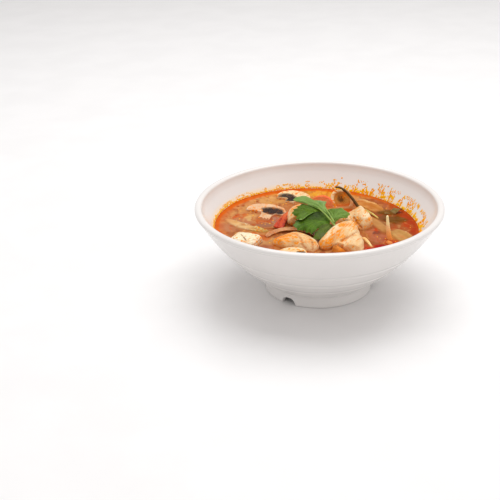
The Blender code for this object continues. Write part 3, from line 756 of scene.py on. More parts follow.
def segment_away(x, y, a, b):
    """The distance of places from the line between two points, and the share along it of the nearest."""
    (ax, ay), (bx, by) = a, b
    share = np.clip(((x - ax) * (bx - ax) + (y - ay) * (by - ay)) / ((bx - ax) ** 2 + (by - ay) ** 2), 0, 1)
    return np.hypot(x - ax - share * (bx - ax), y - ay - share * (by - ay)), share


def make_slice(node, cap, stem, thickness, at, turn, stem_shift, gills, seed, skin_colours, kind="mushroom"):
    """A lengthwise slice of a button mushroom: pale flesh, and a dark ribbed hollow of gills."""
    width, height = cap
    gill_edge = ((0.485, -0.12), (0.42, -0.20), (0.36, -0.14))
    stem_side = ((0.60, -0.10 * height), (0.46, -0.6 * stem[1]))
    outline = [(width / 2 * cos(a), height * sin(a) ** 0.8) for a in np.linspace(0, pi, 24)]
    outline += [(-x * width, y * height) for x, y in gill_edge]
    outline += [(stem_shift - x * stem[0], y) for x, y in stem_side]
    outline += [(stem_shift + x * stem[0], -stem[1]) for x in (-0.54, 0, 0.54)]
    outline += [(stem_shift + x * stem[0], y) for x, y in stem_side[::-1]]
    outline += [(x * width, y * height) for x, y in gill_edge[::-1]]
    centre = (stem_shift * 0.4, 0.25 * height)
    angles = full_turn(200)
    reach = polar_reach(soft_outline(outline, 2), centre, angles)
    ahead = points_of(np.cos(angles), np.sin(angles))
    reach *= 1 + 0.018 * value_noise(ahead * 9, 1.0, seed)
    rounding = 0.99
    half = thickness / 2
    inner = np.linspace(0.02, 1, 28)
    rings = [(share * (reach - rounding), half) for share in inner]
    for a in np.linspace(pi / 2, -pi / 2, 12)[1:-1]:
        rings.append((reach - rounding * (1 - cos(a)), half * np.sign(sin(a)) * abs(sin(a)) ** 0.8))
    rings += [(share * (reach - rounding), -half) for share in inner[::-3]]
    verts, faces = tube(np.array([(*centre, z) + out[:, None] * ahead for out, z in rings]))
    x, y, z = verts.T
    (gx, gy), (rx, ry) = gills
    place = points_of(x, y)
    inside = 1 - np.hypot((x - gx) / rx, (y - gy) / ry) + 0.16 * fractal(place, 4.0, seed + 3)
    edge = np.concatenate([reach - out for out, _ in rings] + [[9, 9]])
    gill = smooth(0.0, 0.16, inside) * smooth(0.5, 1.3, edge)
    lines = np.cos(np.arctan2(y + 0.9 * height, x - gx) * 74 + 0.9 * fractal(place, 3.0, seed + 4))
    upper = smooth(0, thickness * 0.3, z)
    relief = 0.28 * fractal(verts, 5, seed) + 0.10 * fractal(verts, 1.3, seed + 1)
    relief = relief - gill * (0.75 + 0.22 * lines) * upper
    skin = smooth(1.2, 0.2, edge) * smooth(-2, 2, y)
    verts = verts + points_of(0, 0, relief * np.where(z > -thickness / 4, 1, 0.4))
    light, tan = skin_colours
    in_stem = smooth(0.5, -1.5, y) * smooth(stem[0] * 0.75, stem[0] * 0.35, np.abs(x - stem_shift))
    fibres = 0.5 + 0.5 * np.cos(x * 5.0 + 1.2 * fractal(place, 3, seed + 8))
    colours = laid_over(
        light,
        (tan, 0.55 * np.clip(0.5 + fractal(place, 5.5, seed + 6), 0, 1)),
        ((205, 148, 92), 0.6 * skin * np.clip(0.6 + fractal(place, 3, seed + 7), 0, 1)),
        ((200, 160, 120), 0.35 * in_stem * fibres),
        ((120, 84, 62), 0.75 * smooth(-0.10, 0.02, inside) * (1 - gill) * smooth(0.3, 1.0, edge)),
        (laid_over((26, 18, 22), ((86, 62, 60), 0.4 * smooth(0.4, 1.0, lines))), gill * upper * 0.97),
    )
    add_food(node + "_fine", placed(verts, at, turn), faces, colours, materials[kind], "mushroom", node)


def make_block(name, size, squareness, at, turn, seed, colours, slot, kind, node=None, rough=0.35, crack=None,
               slant=0.0, detail=1.0):
    """A soft-cornered lump; the levels and scales are those of the solid model."""
    rows = int(70 * detail)
    level = np.linspace(-0.5, 0.5, rows)
    levels = (-0.5, -0.46, -0.34, 0.1, 0.34, 0.46, 0.5)
    scale = np.interp(level, levels, (0.60, 0.80, 0.95, 1.0, 0.95, 0.84, 0.70))
    closing = np.concatenate([np.linspace(0.05, 1, 12), np.ones(rows), np.linspace(1, 0.03, 22)])
    scale = (np.pad(scale, (12, 22), mode="edge") * closing)[:, None]
    level = np.pad(level, (12, 22), mode="edge")[:, None]
    phi = full_turn(int(140 * detail))
    reach = squarish(phi, squareness)
    x = size[0] / 2 * scale * (reach * np.cos(phi))
    y = size[1] / 2 * scale * (reach * np.sin(phi))
    z = level * size[2] - slant * smooth(-0.5, 0.5, level) * size[2] * smooth(-0.3, 0.5, x / size[0])
    verts, faces = tube(points_of(x, y, z))
    relief = fractal(verts, 6, seed) + 0.3 * fractal(verts, 1.5, seed + 1)
    verts = raised(verts, faces, rough * relief)
    x, y, z = verts.T
    light, shade = colours
    mottle = np.clip(0.45 + 0.8 * fractal(verts, 4.5, seed + 2), 0, 1)
    painted = laid_over(light, (shade, mottle * 0.6))
    if crack:
        off = segment_away(x, y, *crack)[0] + 0.5 * fractal(verts, 2, seed + 5)
        cut = smooth(0.75, 0.15, off) * smooth(0, 2, z)
        verts = verts - points_of(0, 0, 0.7 * cut)
        layer = 0.5 + 0.5 * np.cos(z * 3.4 + 1.5 * fractal(verts, 4, seed + 6))
        layer = layer * smooth(size[0] * 0.36, size[0] * 0.46, x)
        # The crack is painted dark brown: painted shade in it.
        painted = laid_over(painted, ((120, 70, 35), 0.75 * cut), ((196, 130, 72), 0.75 * layer))
    add_food(name, placed(verts, at, turn), faces, painted, materials[kind], slot, node)


def make_cap(node, radius, height, hollow, at, turn, seed):
    """A small whole cap on its side: a thick pale rim around an amber-brown gill hollow."""
    t = np.linspace(0.02, 1, 44)
    dome = np.stack([radius * np.sin(pi / 2 * t), height * np.cos(pi / 2 * t) ** 0.9], 1)
    edge = (radius * 0.76, -height * 0.20)
    rim = bezier(((radius, 0), (radius * 1.05, -height * 0.30), edge), np.linspace(0.05, 1, 22))
    bowl = bezier((edge, (radius * 0.68, hollow * 0.1), (0.1, hollow * 0.1)), np.linspace(0.05, 1, 40))
    profile = np.concatenate([dome, rim, bowl])
    phi = full_turn(150)
    out = profile[:, :1] * squarish(phi, 2.7)
    verts, faces = tube(points_of(out * np.cos(phi), out * np.sin(phi), profile[:, 1:]))
    in_hollow = per_ring(smooth(60, 72, np.arange(len(profile))), len(phi), (0, 1))
    gill_lines = np.cos(46 * np.arctan2(verts[:, 1], verts[:, 0]) + 1.5 * fractal(verts, 3, seed + 3))
    relief = 0.35 * fractal(verts, 5, seed) + 0.12 * fractal(verts, 1.5, seed + 1)
    verts = raised(verts, faces, relief + 0.16 * gill_lines * in_hollow)
    brown = laid_over(
        (238, 172, 88),
        ((206, 124, 40), 0.5 + 0.4 * gill_lines),
        ((220, 96, 20), 0.8 * smooth(0.5, 5, verts[:, 1])),
    )
    spot = smooth(4.4, 1.5, np.hypot(verts[:, 0] + 0.5, verts[:, 1] + 2.0)) * in_hollow
    colours = laid_over(
        (252, 232, 192),
        ((240, 190, 124), 0.6 * np.clip(0.5 + fractal(verts, 4, seed + 2), 0, 1)),
        (brown, in_hollow),
        ((206, 120, 44), 0.75 * smooth(2, 8, verts[:, 0]) * (1 - in_hollow)),
        ((110, 64, 24), 0.7 * spot),
    )
    add_food(node + "_fine", placed(verts, at, turn), faces, colours, materials["mushroom"], "mushroom", node)


def layer_rings(centre, side, half, lift, thin, columns):
    """Closed sections of a thin layer with round edges; returns rings and u, -1..1 across each."""
    phi = full_turn(columns)
    u = np.cos(phi)
    body = np.sign(np.sin(phi)) * np.abs(np.sin(phi)) ** 0.6
    rings = centre[:, None] + side[:, None] * (half[:, None] * u)[..., None]
    rings[..., 2] += lift(u) + thin[:, None] / 2 * (1 - 0.5 * u * u) * body
    return rings, u


def make_petal(name, length, width, thickness, cup, curl, at, turn, colours, seed, node=None, slot="onion",
               kind="onion", blunt=0.55, ragged=0.07, steeped=None):
    """A curved, cupped layer of onion with lengthwise veins and a paler edge."""
    rows, columns = 120, 56
    s = np.linspace(-1, 1, rows)
    ends = round_ends((1 + s) / 2, 0.025, 0.025, 0.05 ** 2)
    wave = value_noise(points_of(s * length / 9, 0, seed), 1.0, seed)
    half = width / 2 * (blunt + (1 - blunt) * (1 - s * s) ** 0.6) * (0.6 + 0.4 * ends) * (1 + ragged * wave)
    radius = length / radians(curl)
    angle = radians(curl) * s / 2
    centre = points_of(radius * np.sin(angle), radius * (np.cos(angle) - 1), 0.35 * wave)
    side = points_of(np.sin(angle), np.cos(angle))
    rings, u = layer_rings(centre, side, half, lambda u: cup * (u * u - 0.5), thickness * ends, columns)
    verts, faces = tube(rings)
    across = round_rings(u, rows)
    along = per_ring(s, columns, (-1, 1))
    place = points_of(along * length / 2, across * width / 2)
    veins = np.cos(across * width * 2.4 + 0.8 * fractal(place, 8, seed + 2))
    relief = 0.09 * veins + 0.22 * fractal(verts, 6, seed + 3) + 0.06 * fractal(verts, 1.2, seed + 4)
    relief = relief + (ragged - 0.07) * 3.0 * fractal(verts, 4.5, seed + 6)
    light, dark = colours
    shade = np.clip(0.5 + 0.25 * veins + 0.7 * fractal(place, 5, seed + 5), 0, 1)
    pale = np.minimum(linear(*light) * 1.15, 0.9)
    painted = laid_over(light, (dark, shade), (pale, 0.45 * smooth(0.60, 0.96, np.abs(across))))
    if steeped:
        run = along + 0.2 * shade
        weights = (0.8 * smooth(-0.25, -0.9, run), 0.8 * smooth(0.15, 0.8, run))
        painted = laid_over(painted, *zip(steeped, weights))
    verts = placed(raised(verts, faces, relief), at, turn)
    add_food(name, verts, faces, painted, materials[kind], slot, node)


def along_tube(points, size, columns):
    """A closed tube round a curve (rows, 3) with half-widths `size`; also each point's angle in its ring."""
    side, over = crosswise(np.gradient(points, axis=0))
    phi = full_turn(columns)
    rings = points[:, None] + side[:, None] * (size[:, None] * np.cos(phi))[..., None]
    rings = rings + over[:, None] * (size[:, None] * np.sin(phi))[..., None]
    return *tube(rings), round_rings(phi, len(points))


def make_sliver(node, length, width, thickness, bow, at, turn, colours, seed):
    """A thin fibrous strip of lemongrass that narrows to its tip."""
    rows, columns = 90, 28
    s = np.linspace(0, 1, rows)
    phi = full_turn(columns)
    scale = ((1 - 0.65 * s ** 1.5) * (0.15 + 0.85 * round_ends(s, 0.03, 0.03)))[:, None] * squarish(phi, 2.8)
    s = s[:, None]
    height = bow * 4 * s * (1 - s) + thickness / 2 * scale * np.sin(phi)
    verts, faces = tube(points_of(length * s, width / 2 * scale * np.cos(phi), height))
    fibre = np.cos(round_rings(phi, rows) * 9 + 0.8 * fractal(verts, 6, seed))
    verts = raised(verts, faces, 0.07 * fibre + 0.12 * fractal(verts, 3, seed + 1))
    tip, base = colours
    painted = laid_over(tip, (base, smooth(0.85, 0.25, verts[:, 0] / length)))
    painted = painted * (1 - 0.18 * smooth(0.2, 1, -fibre))[:, None]
    verts = placed(verts, at, turn)
    add_food(node + "_fine", verts, faces, painted, materials["lemongrass"], "lemongrass", node)


def make_tomato(node, radius, length, opening, at, turn, seed):
    """A wedge of tomato: glossy skin over flesh with paler cut faces."""
    rows, quarter = 90, 40
    s = np.linspace(0.004, 0.996, rows)
    half = radians(opening) / 2
    rising = np.linspace(0, 1, quarter, endpoint=False)
    out = np.concatenate([rising, np.ones(quarter), np.linspace(1, 0, quarter + 1)[1:]])
    angle = np.repeat((-half, 0, half), quarter)
    angle[quarter:2 * quarter] = np.linspace(-half, half, quarter)
    corner = 1 - 0.06 * smooth(0.86, 1.0, np.abs(angle) / half) * smooth(0.9, 1.0, out)
    reach = (radius * np.sin(pi * s) ** 0.75)[:, None] * out * corner
    along = (-length / 2 * np.cos(pi * s))[:, None]
    verts, faces = tube(points_of(along, reach * np.sin(angle), reach * np.cos(angle)))
    skin = round_rings(smooth(0.97, 1.0, out), rows, (1, 1))
    relief = 0.12 * fractal(verts, 5, seed) + (1 - skin) * 0.3 * fractal(verts, 2.2, seed + 1)
    verts = raised(verts, faces, relief)
    cut = laid_over((255, 164, 116), ((250, 126, 66), 0.5 + 0.5 * fractal(verts, 3, seed + 2)))
    red = laid_over((252, 120, 66), ((240, 90, 30), 0.5 + 0.5 * fractal(verts, 6, seed + 3)))
    colours = blend(cut, red, skin)
    add_food(node + "_fine", placed(verts, at, turn), faces, colours, materials["tomato"], "tomato", node)


def make_stalk(node, start, knee, end, thin, thick, seed):
    """A dark bent stalk, ridged lengthwise, with a painted highlight along its ridges."""
    t = np.linspace(0, 1, 100)
    size = (thin + (thick - thin) * t) / 2 * round_ends(t, 0.02, 0.02, 0.1)
    size = size * (1 + 0.22 * smooth(0.07, 0.0, np.abs(t - 0.46)))
    verts, faces, phi = along_tube(bezier((start, knee, end), t), size, 30)
    ridge = np.cos(5 * phi + fractal(verts, 8, seed))
    verts = raised(verts, faces, 0.10 * ridge + 0.12 * fractal(verts, 2.2, seed + 1))
    colours = laid_over(
        (118, 78, 40),
        ((58, 40, 20), 0.5 + 0.5 * fractal(verts, 3, seed + 2)),
        # Painted highlight along the ridges.
        ((132, 104, 50), 0.5 * smooth(0.3, 1.0, ridge)),
    )
    add_food(node + "_fine", verts, faces, colours, materials["stalk"], "dark_stalk", node)


def make_wilted(node, length, width, lift, at, turn, seed):
    """A limp herb leaf that lies in folds, with a midrib and a ragged edge."""
    rows, columns = 110, 72
    s = np.linspace(0, 1, rows)
    wave = value_noise(points_of(s * length / 1.6, 0), 1.0, seed)
    half = width / 2 * np.maximum(np.sin(pi * (0.03 + 0.95 * s)) ** 0.8, 0.07) * (1 + 0.10 * wave)
    centre = points_of(length * s, 0.4 * wave, lift * s * s)
    side = points_of(0 * s, 1)
    rings, u = layer_rings(centre, side, half, lambda u: 0 * u, np.full(rows, 0.8), columns)
    rings[..., 2] += np.sin(tau * 1.6 * s[:, None] + 1.1 * u) * (0.4 + 0.6 * np.abs(u))
    verts, faces = tube(rings)
    off_rib = np.abs(round_rings(u, rows))
    along = per_ring(s, columns, (0, 1)) * length
    veins = smooth(0.7, 1.0, np.cos(tau * (along - 0.5 * off_rib * width) / 2.6)) + smooth(0.12, 0.0, off_rib)
    verts = raised(verts, faces, 0.35 * fractal(verts, 3.2, seed + 1) + 0.10 * veins)
    colours = laid_over(
        (150, 122, 66),
        ((104, 72, 34), 0.5 + 0.6 * fractal(verts, 3, seed + 2)),
        ((150, 120, 60), 0.35 * np.clip(veins, 0, 1)),
    )
    add_food(node + "_fine", placed(verts, at, turn), faces, colours, materials["herb"], "wilted_herb", node)


# ---------------------------------------------------------------- coriander sprig

LEAF_JOINT = np.array((8.5, -14.0, 62.9))
# The blades seen from above, in mm from the joint. Each has its outline, its middle, where its veins
# start and end, its slope, its lift, its light and deep tones, and touches of colour (place, radius,
# colour, strength); some tones and touches are painted shadow and sheen. The curled one has its edge
# turned up from one direction to another, in a light colour that is partly a painted highlight.
BLADES = {
    "fold": {
        "outline": ((1, -4), (-5.5, -4), (-9.5, -7.5), (-11.3, -11.8), (-13.6, -14), (-14, -17.3),
                    (-15.6, -20.3), (-13.6, -23), (-11, -22.2), (-7.7, -22.2), (-6, -20), (-3, -19.6),
                    (-2.6, -17.2), (-0.5, -16.8), (-0.8, -13.5), (1, -9)),
        "middle": (-6.5, -13), "root": (-0.5, -5.5),
        "veins": ((-14.8, -20), (-11, -21.8), (-4, -19.5), (-12, -12)),
        "slope": (0.05, 0.22), "lift": 0.3, "tones": ((96, 112, 40), (62, 74, 10)),
        # Its first touch is a painted grey sheen.
        "touches": (((-8, -19.5), 3.6, (96, 98, 70), 0.55), ((-1.5, -17), 3.0, (84, 120, 62), 0.7)),
    },
    "lower": {
        "outline": ((0, -1.5), (-3, 6), (-7, 12), (-11, 13), (-15.5, 10.5), (-20.5, 5.5), (-24.3, 2.6),
                    (-28.5, 1.6), (-27.6, -1), (-30.6, -3.5), (-28.5, -4.5), (-29.4, -7.1), (-26.8, -7.5),
                    (-27.4, -10), (-24.4, -9.7), (-23.4, -11.6), (-21, -10.1), (-20.2, -13.2),
                    (-18, -13.2), (-17.2, -12), (-16.4, -15.2), (-13.7, -12.7), (-10.7, -9.1),
                    (-7.3, -6.5), (-1.5, -5)),
        "middle": (-15, -1.5), "root": (-1, -2),
        "veins": ((-28, 1), (-30, -3.5), (-27, -9.5), (-20, -12.8), (-16.3, -14.6)),
        "slope": (0.02, 0.28), "lift": 0.6, "tones": ((90, 122, 26), (46, 70, 4)),
        # Its first touch is painted shadow of the left blade, whose curled edge lies over it.
        "touches": (((-12, 7), 9.0, (40, 56, 8), 0.9), ((-17, -8), 6.0, (84, 120, 10), 0.55),
                    ((-29, -4), 5.0, (112, 142, 84), 0.6)),
    },
    "left": {
        "outline": ((-4.5, 9.8), (-10.2, 9.2), (-14.8, 5.7), (-18.7, 1.2), (-22.3, -3), (-24.9, -3),
                    (-26, -0.8), (-28, -0.2), (-26.2, 2.9), (-29.2, 2.9), (-29.2, 5.4), (-31, 6.9),
                    (-28.2, 9.6), (-29.9, 12.3), (-26.4, 12.6), (-24.9, 14.4), (-26.9, 16.7),
                    (-23.4, 16.6), (-21.9, 19.6), (-19.3, 18.2), (-16.1, 17.4), (-12.2, 16.2),
                    (-5.5, 14)),
        "middle": (-17, 9.5), "root": (-5, 11),
        "veins": ((-29.4, 12), (-30.5, 6.8), (-27.5, 0), (-23.4, -2.6), (-26.2, 16.3)),
        "slope": (-0.10, 0.24), "lift": 0.5, "tones": ((94, 122, 26), (54, 76, 4)),
        "touches": (((-28, 8), 6.5, (74, 94, 6), 0.7), ((-20, 3), 5.0, (104, 132, 66), 0.5)),
        "curled": (-122, -6, (158, 192, 112)),
    },
    "right": {
        "outline": ((0.5, -3.8), (0.6, 3.6), (-0.4, 10.1), (-2.3, 14.6), (0.6, 14.2), (4.2, 13.3),
                    (7.6, 12.3), (10.8, 14.4), (11.1, 10.8), (13.4, 7.6), (16.4, 4.6), (14.4, 3),
                    (13.4, 0.2), (11.9, 1.6), (10.3, 0.5), (8.3, 1.1), (5.7, -1.3), (3.9, -2.9),
                    (2.6, -7.9)),
        "middle": (5, 6), "root": (1, -3),
        "veins": ((16, 4.4), (10.7, 13.6), (-1.5, 14), (13, 0.8)),
        # Its pale grey-green tones are partly painted sheen.
        "slope": (0.14, 0.27), "lift": 0.6, "tones": ((118, 146, 66), (78, 106, 28)),
        "touches": (((10.8, 13.6), 2.2, (176, 188, 44), 0.9), ((15.5, 3.5), 2.6, (112, 130, 6), 0.7),
                    ((2, -3), 5.0, (88, 98, 10), 0.7)),
    },
    "band": {
        "outline": ((0.4, -1), (-1.9, 3), (-5.1, 7.8), (-8.5, 10.6), (-12.4, 12.6), (-15.9, 14.7),
                    (-18.6, 16.6), (-22.6, 17.2), (-26.6, 18.3), (-29.4, 20.6), (-25.5, 23.2),
                    (-23, 23.9), (-20.5, 26.7), (-18.1, 25.2), (-16.6, 22.8), (-14.2, 21.6), (-11, 20.9),
                    (-7.8, 20.2), (-4.6, 20.3), (-0.8, 22), (-2.8, 18.2), (-3, 14.4), (-2, 10.9),
                    (0.6, 5)),
        "middle": (-8, 15.5), "root": (-1, 4),
        "veins": ((-28.6, 20.4), (-20.4, 25.8), (-1.6, 21.4), (-13, 21)),
        # Its pale grey-green tones and its palest touch are partly painted sheen.
        "slope": (-0.11, 0.30), "lift": 2.0, "tones": ((134, 160, 88), (94, 128, 50)),
        "touches": (((-27, 20.5), 4.5, (104, 146, 70), 0.7), ((-6, 20), 4.5, (134, 172, 122), 0.6)),
    },
}
STEMS = (                                                      # path, width at its start and end
    (((-9.5, 10.5, 7.2), (-2.2, -1.0, 5.2), (4.5, -10.5, -3.0)), 0.8, 1.8),
    (((-3.5, 10.5, 6.2), (-0.4, 2.5, 4.4), (2.2, -6.5, 1.6)), 0.7, 1.3),
)


def away_from(x, y, path):
    """The distance of places from a path of points, and how far along it the nearest point is."""
    away = np.full(x.shape, 99.0)
    along = np.zeros(x.shape)
    run = 0.0
    for a, b in zip(path, path[1:]):
        length = float(np.hypot(*(b - a)))
        off, share = segment_away(x, y, a, b)
        along = np.where(off < away, run + share * length, along)
        away = np.minimum(away, off)
        run += length
    return away, along


def make_blade(outline, middle, root, veins, slope, lift, tones, touches, seed, curled=None):
    """A thin toothed blade: its veins, crinkles and drooping or curled edge are modelled."""
    angles = np.linspace(-pi, pi, 280, endpoint=False)
    edge = polar_reach(soft_outline(outline, 1), np.array(middle, float), angles)
    share = np.concatenate([np.linspace(0.02, 0.9, 20), np.linspace(0.93, 1, 6)])[:, None]
    x = middle[0] + share * edge * np.cos(angles)
    y = middle[1] + share * edge * np.sin(angles)
    flat = points_of(x, y, 5.0 * seed).reshape(-1, 3)
    away = np.full(x.shape, 99.0)
    along = np.zeros(x.shape)
    for end in veins:
        off, run = away_from(x, y, bezier((root, middle, end), np.linspace(0, 1, 9)))
        along = np.where(off < away, run, along)
        away = np.minimum(away, off)
    rib = np.exp(-(away / 0.34) ** 2)
    branches = smooth(0.80, 1.0, np.cos(tau * (along - 1.2 * away) / 2.6)) * smooth(0.2, 0.7, away)
    crinkle = fractal(flat, 4.2, seed).reshape(x.shape)
    fine = fractal(flat, 1.2, seed + 1).reshape(x.shape)
    height = slope[0] * x + slope[1] * y + lift + 1.2 * (1 - share ** 2)
    height = height + 0.80 * (1 - np.exp(-(away / 1.8) ** 2)) + 0.50 * crinkle + 0.12 * fine
    height = height - 0.22 * rib - 0.10 * branches
    droop = smooth(0.80, 1.0, share)
    light, deep = tones
    layers = [(deep, np.clip(0.45 + 0.6 * crinkle + 0.3 * fine, 0, 1))]
    # Touches of colour, among them painted shadow and sheen.
    for (px, py), radius, colour, strength in touches:
        near = smooth(1.2, 0.3, np.hypot(x - px, y - py) / radius + 0.25 * crinkle)
        layers.append((colour, strength * near))
    layers.append((np.minimum(linear(*light) * 1.35, 0.6), np.clip(0.55 * rib + 0.22 * branches, 0, 1)))
    if curled:
        first, last, colour = curled
        degrees = np.degrees(angles)
        curl = smooth(first - 6, first + 6, degrees) * smooth(last + 6, last - 6, degrees)
        height = height + 1.0 * curl * droop
        # The turned-up edge's light colour, partly a painted highlight.
        layers.append((colour, 0.9 * curl * smooth(0.82, 0.90, share)))
        droop = droop * (1 - curl)
    height = height - droop * (0.7 + 0.5 * crinkle)
    thick = 0.42 * (1 - 0.6 * smooth(0.9, 1.0, share))
    verts, faces = tube(np.concatenate([points_of(x, y, height), points_of(x, y, height - thick)[::-1]]))
    colours = laid_over(light, *((colour, weight.ravel()) for colour, weight in layers))
    under = laid_over(colours, ((104, 128, 78), np.full(len(colours), 0.5)))
    under = under.reshape(*x.shape, 3)[::-1].reshape(-1, 3)
    return verts, faces, np.concatenate([colours, under, colours[:1], under[-1:]])


def make_sprig():
    parts = [make_blade(seed=60 + 3 * k, **blade) for k, blade in enumerate(BLADES.values())]
    for path, thin, thick in STEMS:
        t = np.linspace(0, 1, 90)
        size = (thin + (thick - thin) * t) / 2 * round_ends(t, 0.03, 0.03, 0.1)
        verts, faces, phi = along_tube(bezier(path, t), size, 24)
        groove = np.cos(6 * phi)
        green = linear(158, 182, 96) * (1 - 0.25 * smooth(0, 1, -groove))[:, None]
        parts.append((raised(verts, faces, 0.05 * groove), faces, green))
    verts, faces, colours = joined(*parts)
    leaf = materials["coriander"]
    add_food("coriander_fine", verts + LEAF_JOINT, faces, colours, leaf, "coriander", "coriander_sprig")


# ---------------------------------------------------------------- broth and oil

# Patches of the broth's colour, one of them a painted shadow: place, half sizes (mm), turn, colour, strength
PATCHES = (
    ((-45, 57), (22, 9), -12, (208, 152, 88), 0.85),
    ((5, 73), (26, 8), 0, (222, 156, 48), 0.95),
    ((-28, 72), (14, 6), 15, (214, 148, 64), 0.8),
    ((45, 42), (10, 8), -40, (200, 138, 66), 0.7),
    ((-14, 40), (10, 9), 10, (184, 112, 62), 0.7),
    ((-61, 11), (8, 10), 15, (186, 120, 86), 0.85),
    ((-57, 17), (2.2, 9), 22, (218, 176, 116), 0.8),
    ((-68, 21), (1.8, 11), -25, (198, 84, 44), 0.7),
    # painted shadow of the left mushroom slice
    ((-42, 5), (10, 8), 10, (154, 106, 86), 0.75),
    ((-35, 14), (6, 8), 0, (176, 126, 108), 0.7),
    ((-75, -2), (9, 7), -30, (184, 124, 90), 0.8),
    ((-42, -30), (9, 10), 20, (194, 144, 96), 0.8),
    ((-46, -42), (9, 6), 20, (168, 106, 78), 0.9),
    ((-32, -3), (14, 1.6), 15, (150, 66, 26), 0.8),
    ((24, 31), (11, 6), 0, (190, 84, 34), 0.85),
    ((4, 24), (14, 7), 0, (170, 92, 52), 0.7),
    ((42, -8), (5, 16), 5, (190, 118, 84), 0.8),
    ((43, -6), (1.5, 13), 25, (198, 70, 24), 0.85),
    ((45, -14.5), (3.4, 4.4), 0, (128, 74, 58), 0.95),
    ((48, -26), (9, 8), 20, (182, 110, 80), 0.85),
    ((54, -28), (6, 7), 0, (186, 54, 32), 0.85),
    ((45, -47), (20, 6), 35, (168, 44, 24), 0.92),
    ((33, -42), (4.5, 9), 20, (206, 98, 70), 0.85),
    ((60, 19), (10, 17), 10, (112, 74, 40), 0.9),
    ((54, 3), (6, 9), 0, (146, 98, 60), 0.75),
    ((75, 5), (6, 22), 5, (182, 68, 36), 0.9),
    ((63, -19), (10, 12), 20, (182, 142, 84), 0.75),
    ((-6, -24), (30, 8), 10, (176, 116, 76), 0.7),
)


def broth_colours(x, y, edge):
    """The broth's own colour at places on its surface, `edge` mm from the wall."""
    flat = points_of(x, y)
    warp_x = x + 3.2 * fractal(flat, 9, 101) + 1.0 * fractal(flat, 2.5, 103)
    warp_y = y + 4.5 * fractal(flat, 9, 102) + 1.4 * fractal(flat, 2.5, 104)
    colours = laid_over(
        (190, 124, 76),
        ((160, 84, 46), 0.85 * smooth(8, 56, warp_x)),
        ((206, 140, 70), 0.6 * smooth(30, 70, warp_y)),
        ((150, 90, 62), 0.6 * smooth(0.1, 0.6, fractal(flat, 14, 105))),
        ((212, 152, 94), 0.6 * smooth(0.1, 0.6, fractal(flat, 11, 106))),
    )
    for (px, py), (hx, hy), turn, colour, strength in PATCHES:
        a = radians(turn)
        dx, dy = warp_x - px, warp_y - py
        away = np.hypot((dx * cos(a) + dy * sin(a)) / hx, (dy * cos(a) - dx * sin(a)) / hy)
        colours = laid_over(colours, (colour, strength * smooth(1.15, 0.65, away)))
    streaks = fractal(points_of(warp_x / 6, warp_y / 11), 1.0, 107, octaves=2)
    marble = np.abs(fractal(points_of(warp_x / 11, warp_y / 18), 1.0, 109, octaves=2))
    swirl = np.abs(fractal(points_of(warp_x / 10, warp_y / 16, 7), 1.0, 112, octaves=2))
    colours = laid_over(
        colours,
        ((206, 92, 30), 0.60 * smooth(0.25, 0.65, streaks)),
        ((140, 78, 50), 0.55 * smooth(0.25, 0.65, -streaks)),
        ((222, 172, 104), 0.40 * smooth(0.12, 0.0, marble)),
        ((176, 66, 22), 0.55 * smooth(0.09, 0.0, swirl)),
    )
    colours = colours * (1 - 0.10 * np.exp(-((x + 10) ** 2 + (y + 5) ** 2) / 46 ** 2))[:, None]
    ring = edge + 1.2 * fractal(flat, 5, 108)
    left = smooth(-30, -75, x)
    right = smooth(45, 75, x)
    width = (2.6 + 2.2 * smooth(10, 60, y)) * (1 - 0.45 * smooth(20, 60, x))
    line = smooth(width + 0.8, width - 1.2, edge + 1.1 * fractal(flat, 6, 113)) * (1 - 0.65 * right)
    line = line * np.clip(0.85 + 0.5 * fractal(flat, 11, 114), 0, 1)
    return laid_over(
        colours,
        ((206, 98, 44), 0.55 * smooth(10, 2, ring + 2.5 * streaks) * np.maximum(left, 0.25)),
        ((160, 54, 24), 0.75 * smooth(12, 3, ring) * right),
        ((212, 92, 8), 0.92 * line),
    )


def square_to_disc(steps):
    """A grid of points (steps * steps, 2) that fills the unit disc evenly."""
    x, y = np.meshgrid(*[np.linspace(-1, 1, steps)] * 2, indexing="ij")
    wide = np.abs(x) > np.abs(y)
    across = pi / 4 * y / np.where(wide, x, 1)
    upright = pi / 2 - pi / 4 * x / np.where(wide | (y == 0), 1, y)
    angle = np.where(wide, across, upright)
    reach = np.where(wide, x, y)
    return np.stack([reach * np.cos(angle), reach * np.sin(angle)], -1).reshape(-1, 2)


def map_cells(x, y):
    """The cells of the map of sunk things in which places lie."""
    return tuple(np.clip(np.round(v / MAP_CELL + MAP_SIZE / 2).astype(int), 0, MAP_SIZE - 1) for v in (x, y))


def spread(grid, reach):
    """The sum of each cell and its neighbours, up to `reach` cells away along both axes."""
    for axis in (0, 1):
        grid = sum(np.roll(grid, k, axis) for k in range(-reach, reach + 1))
    return grid


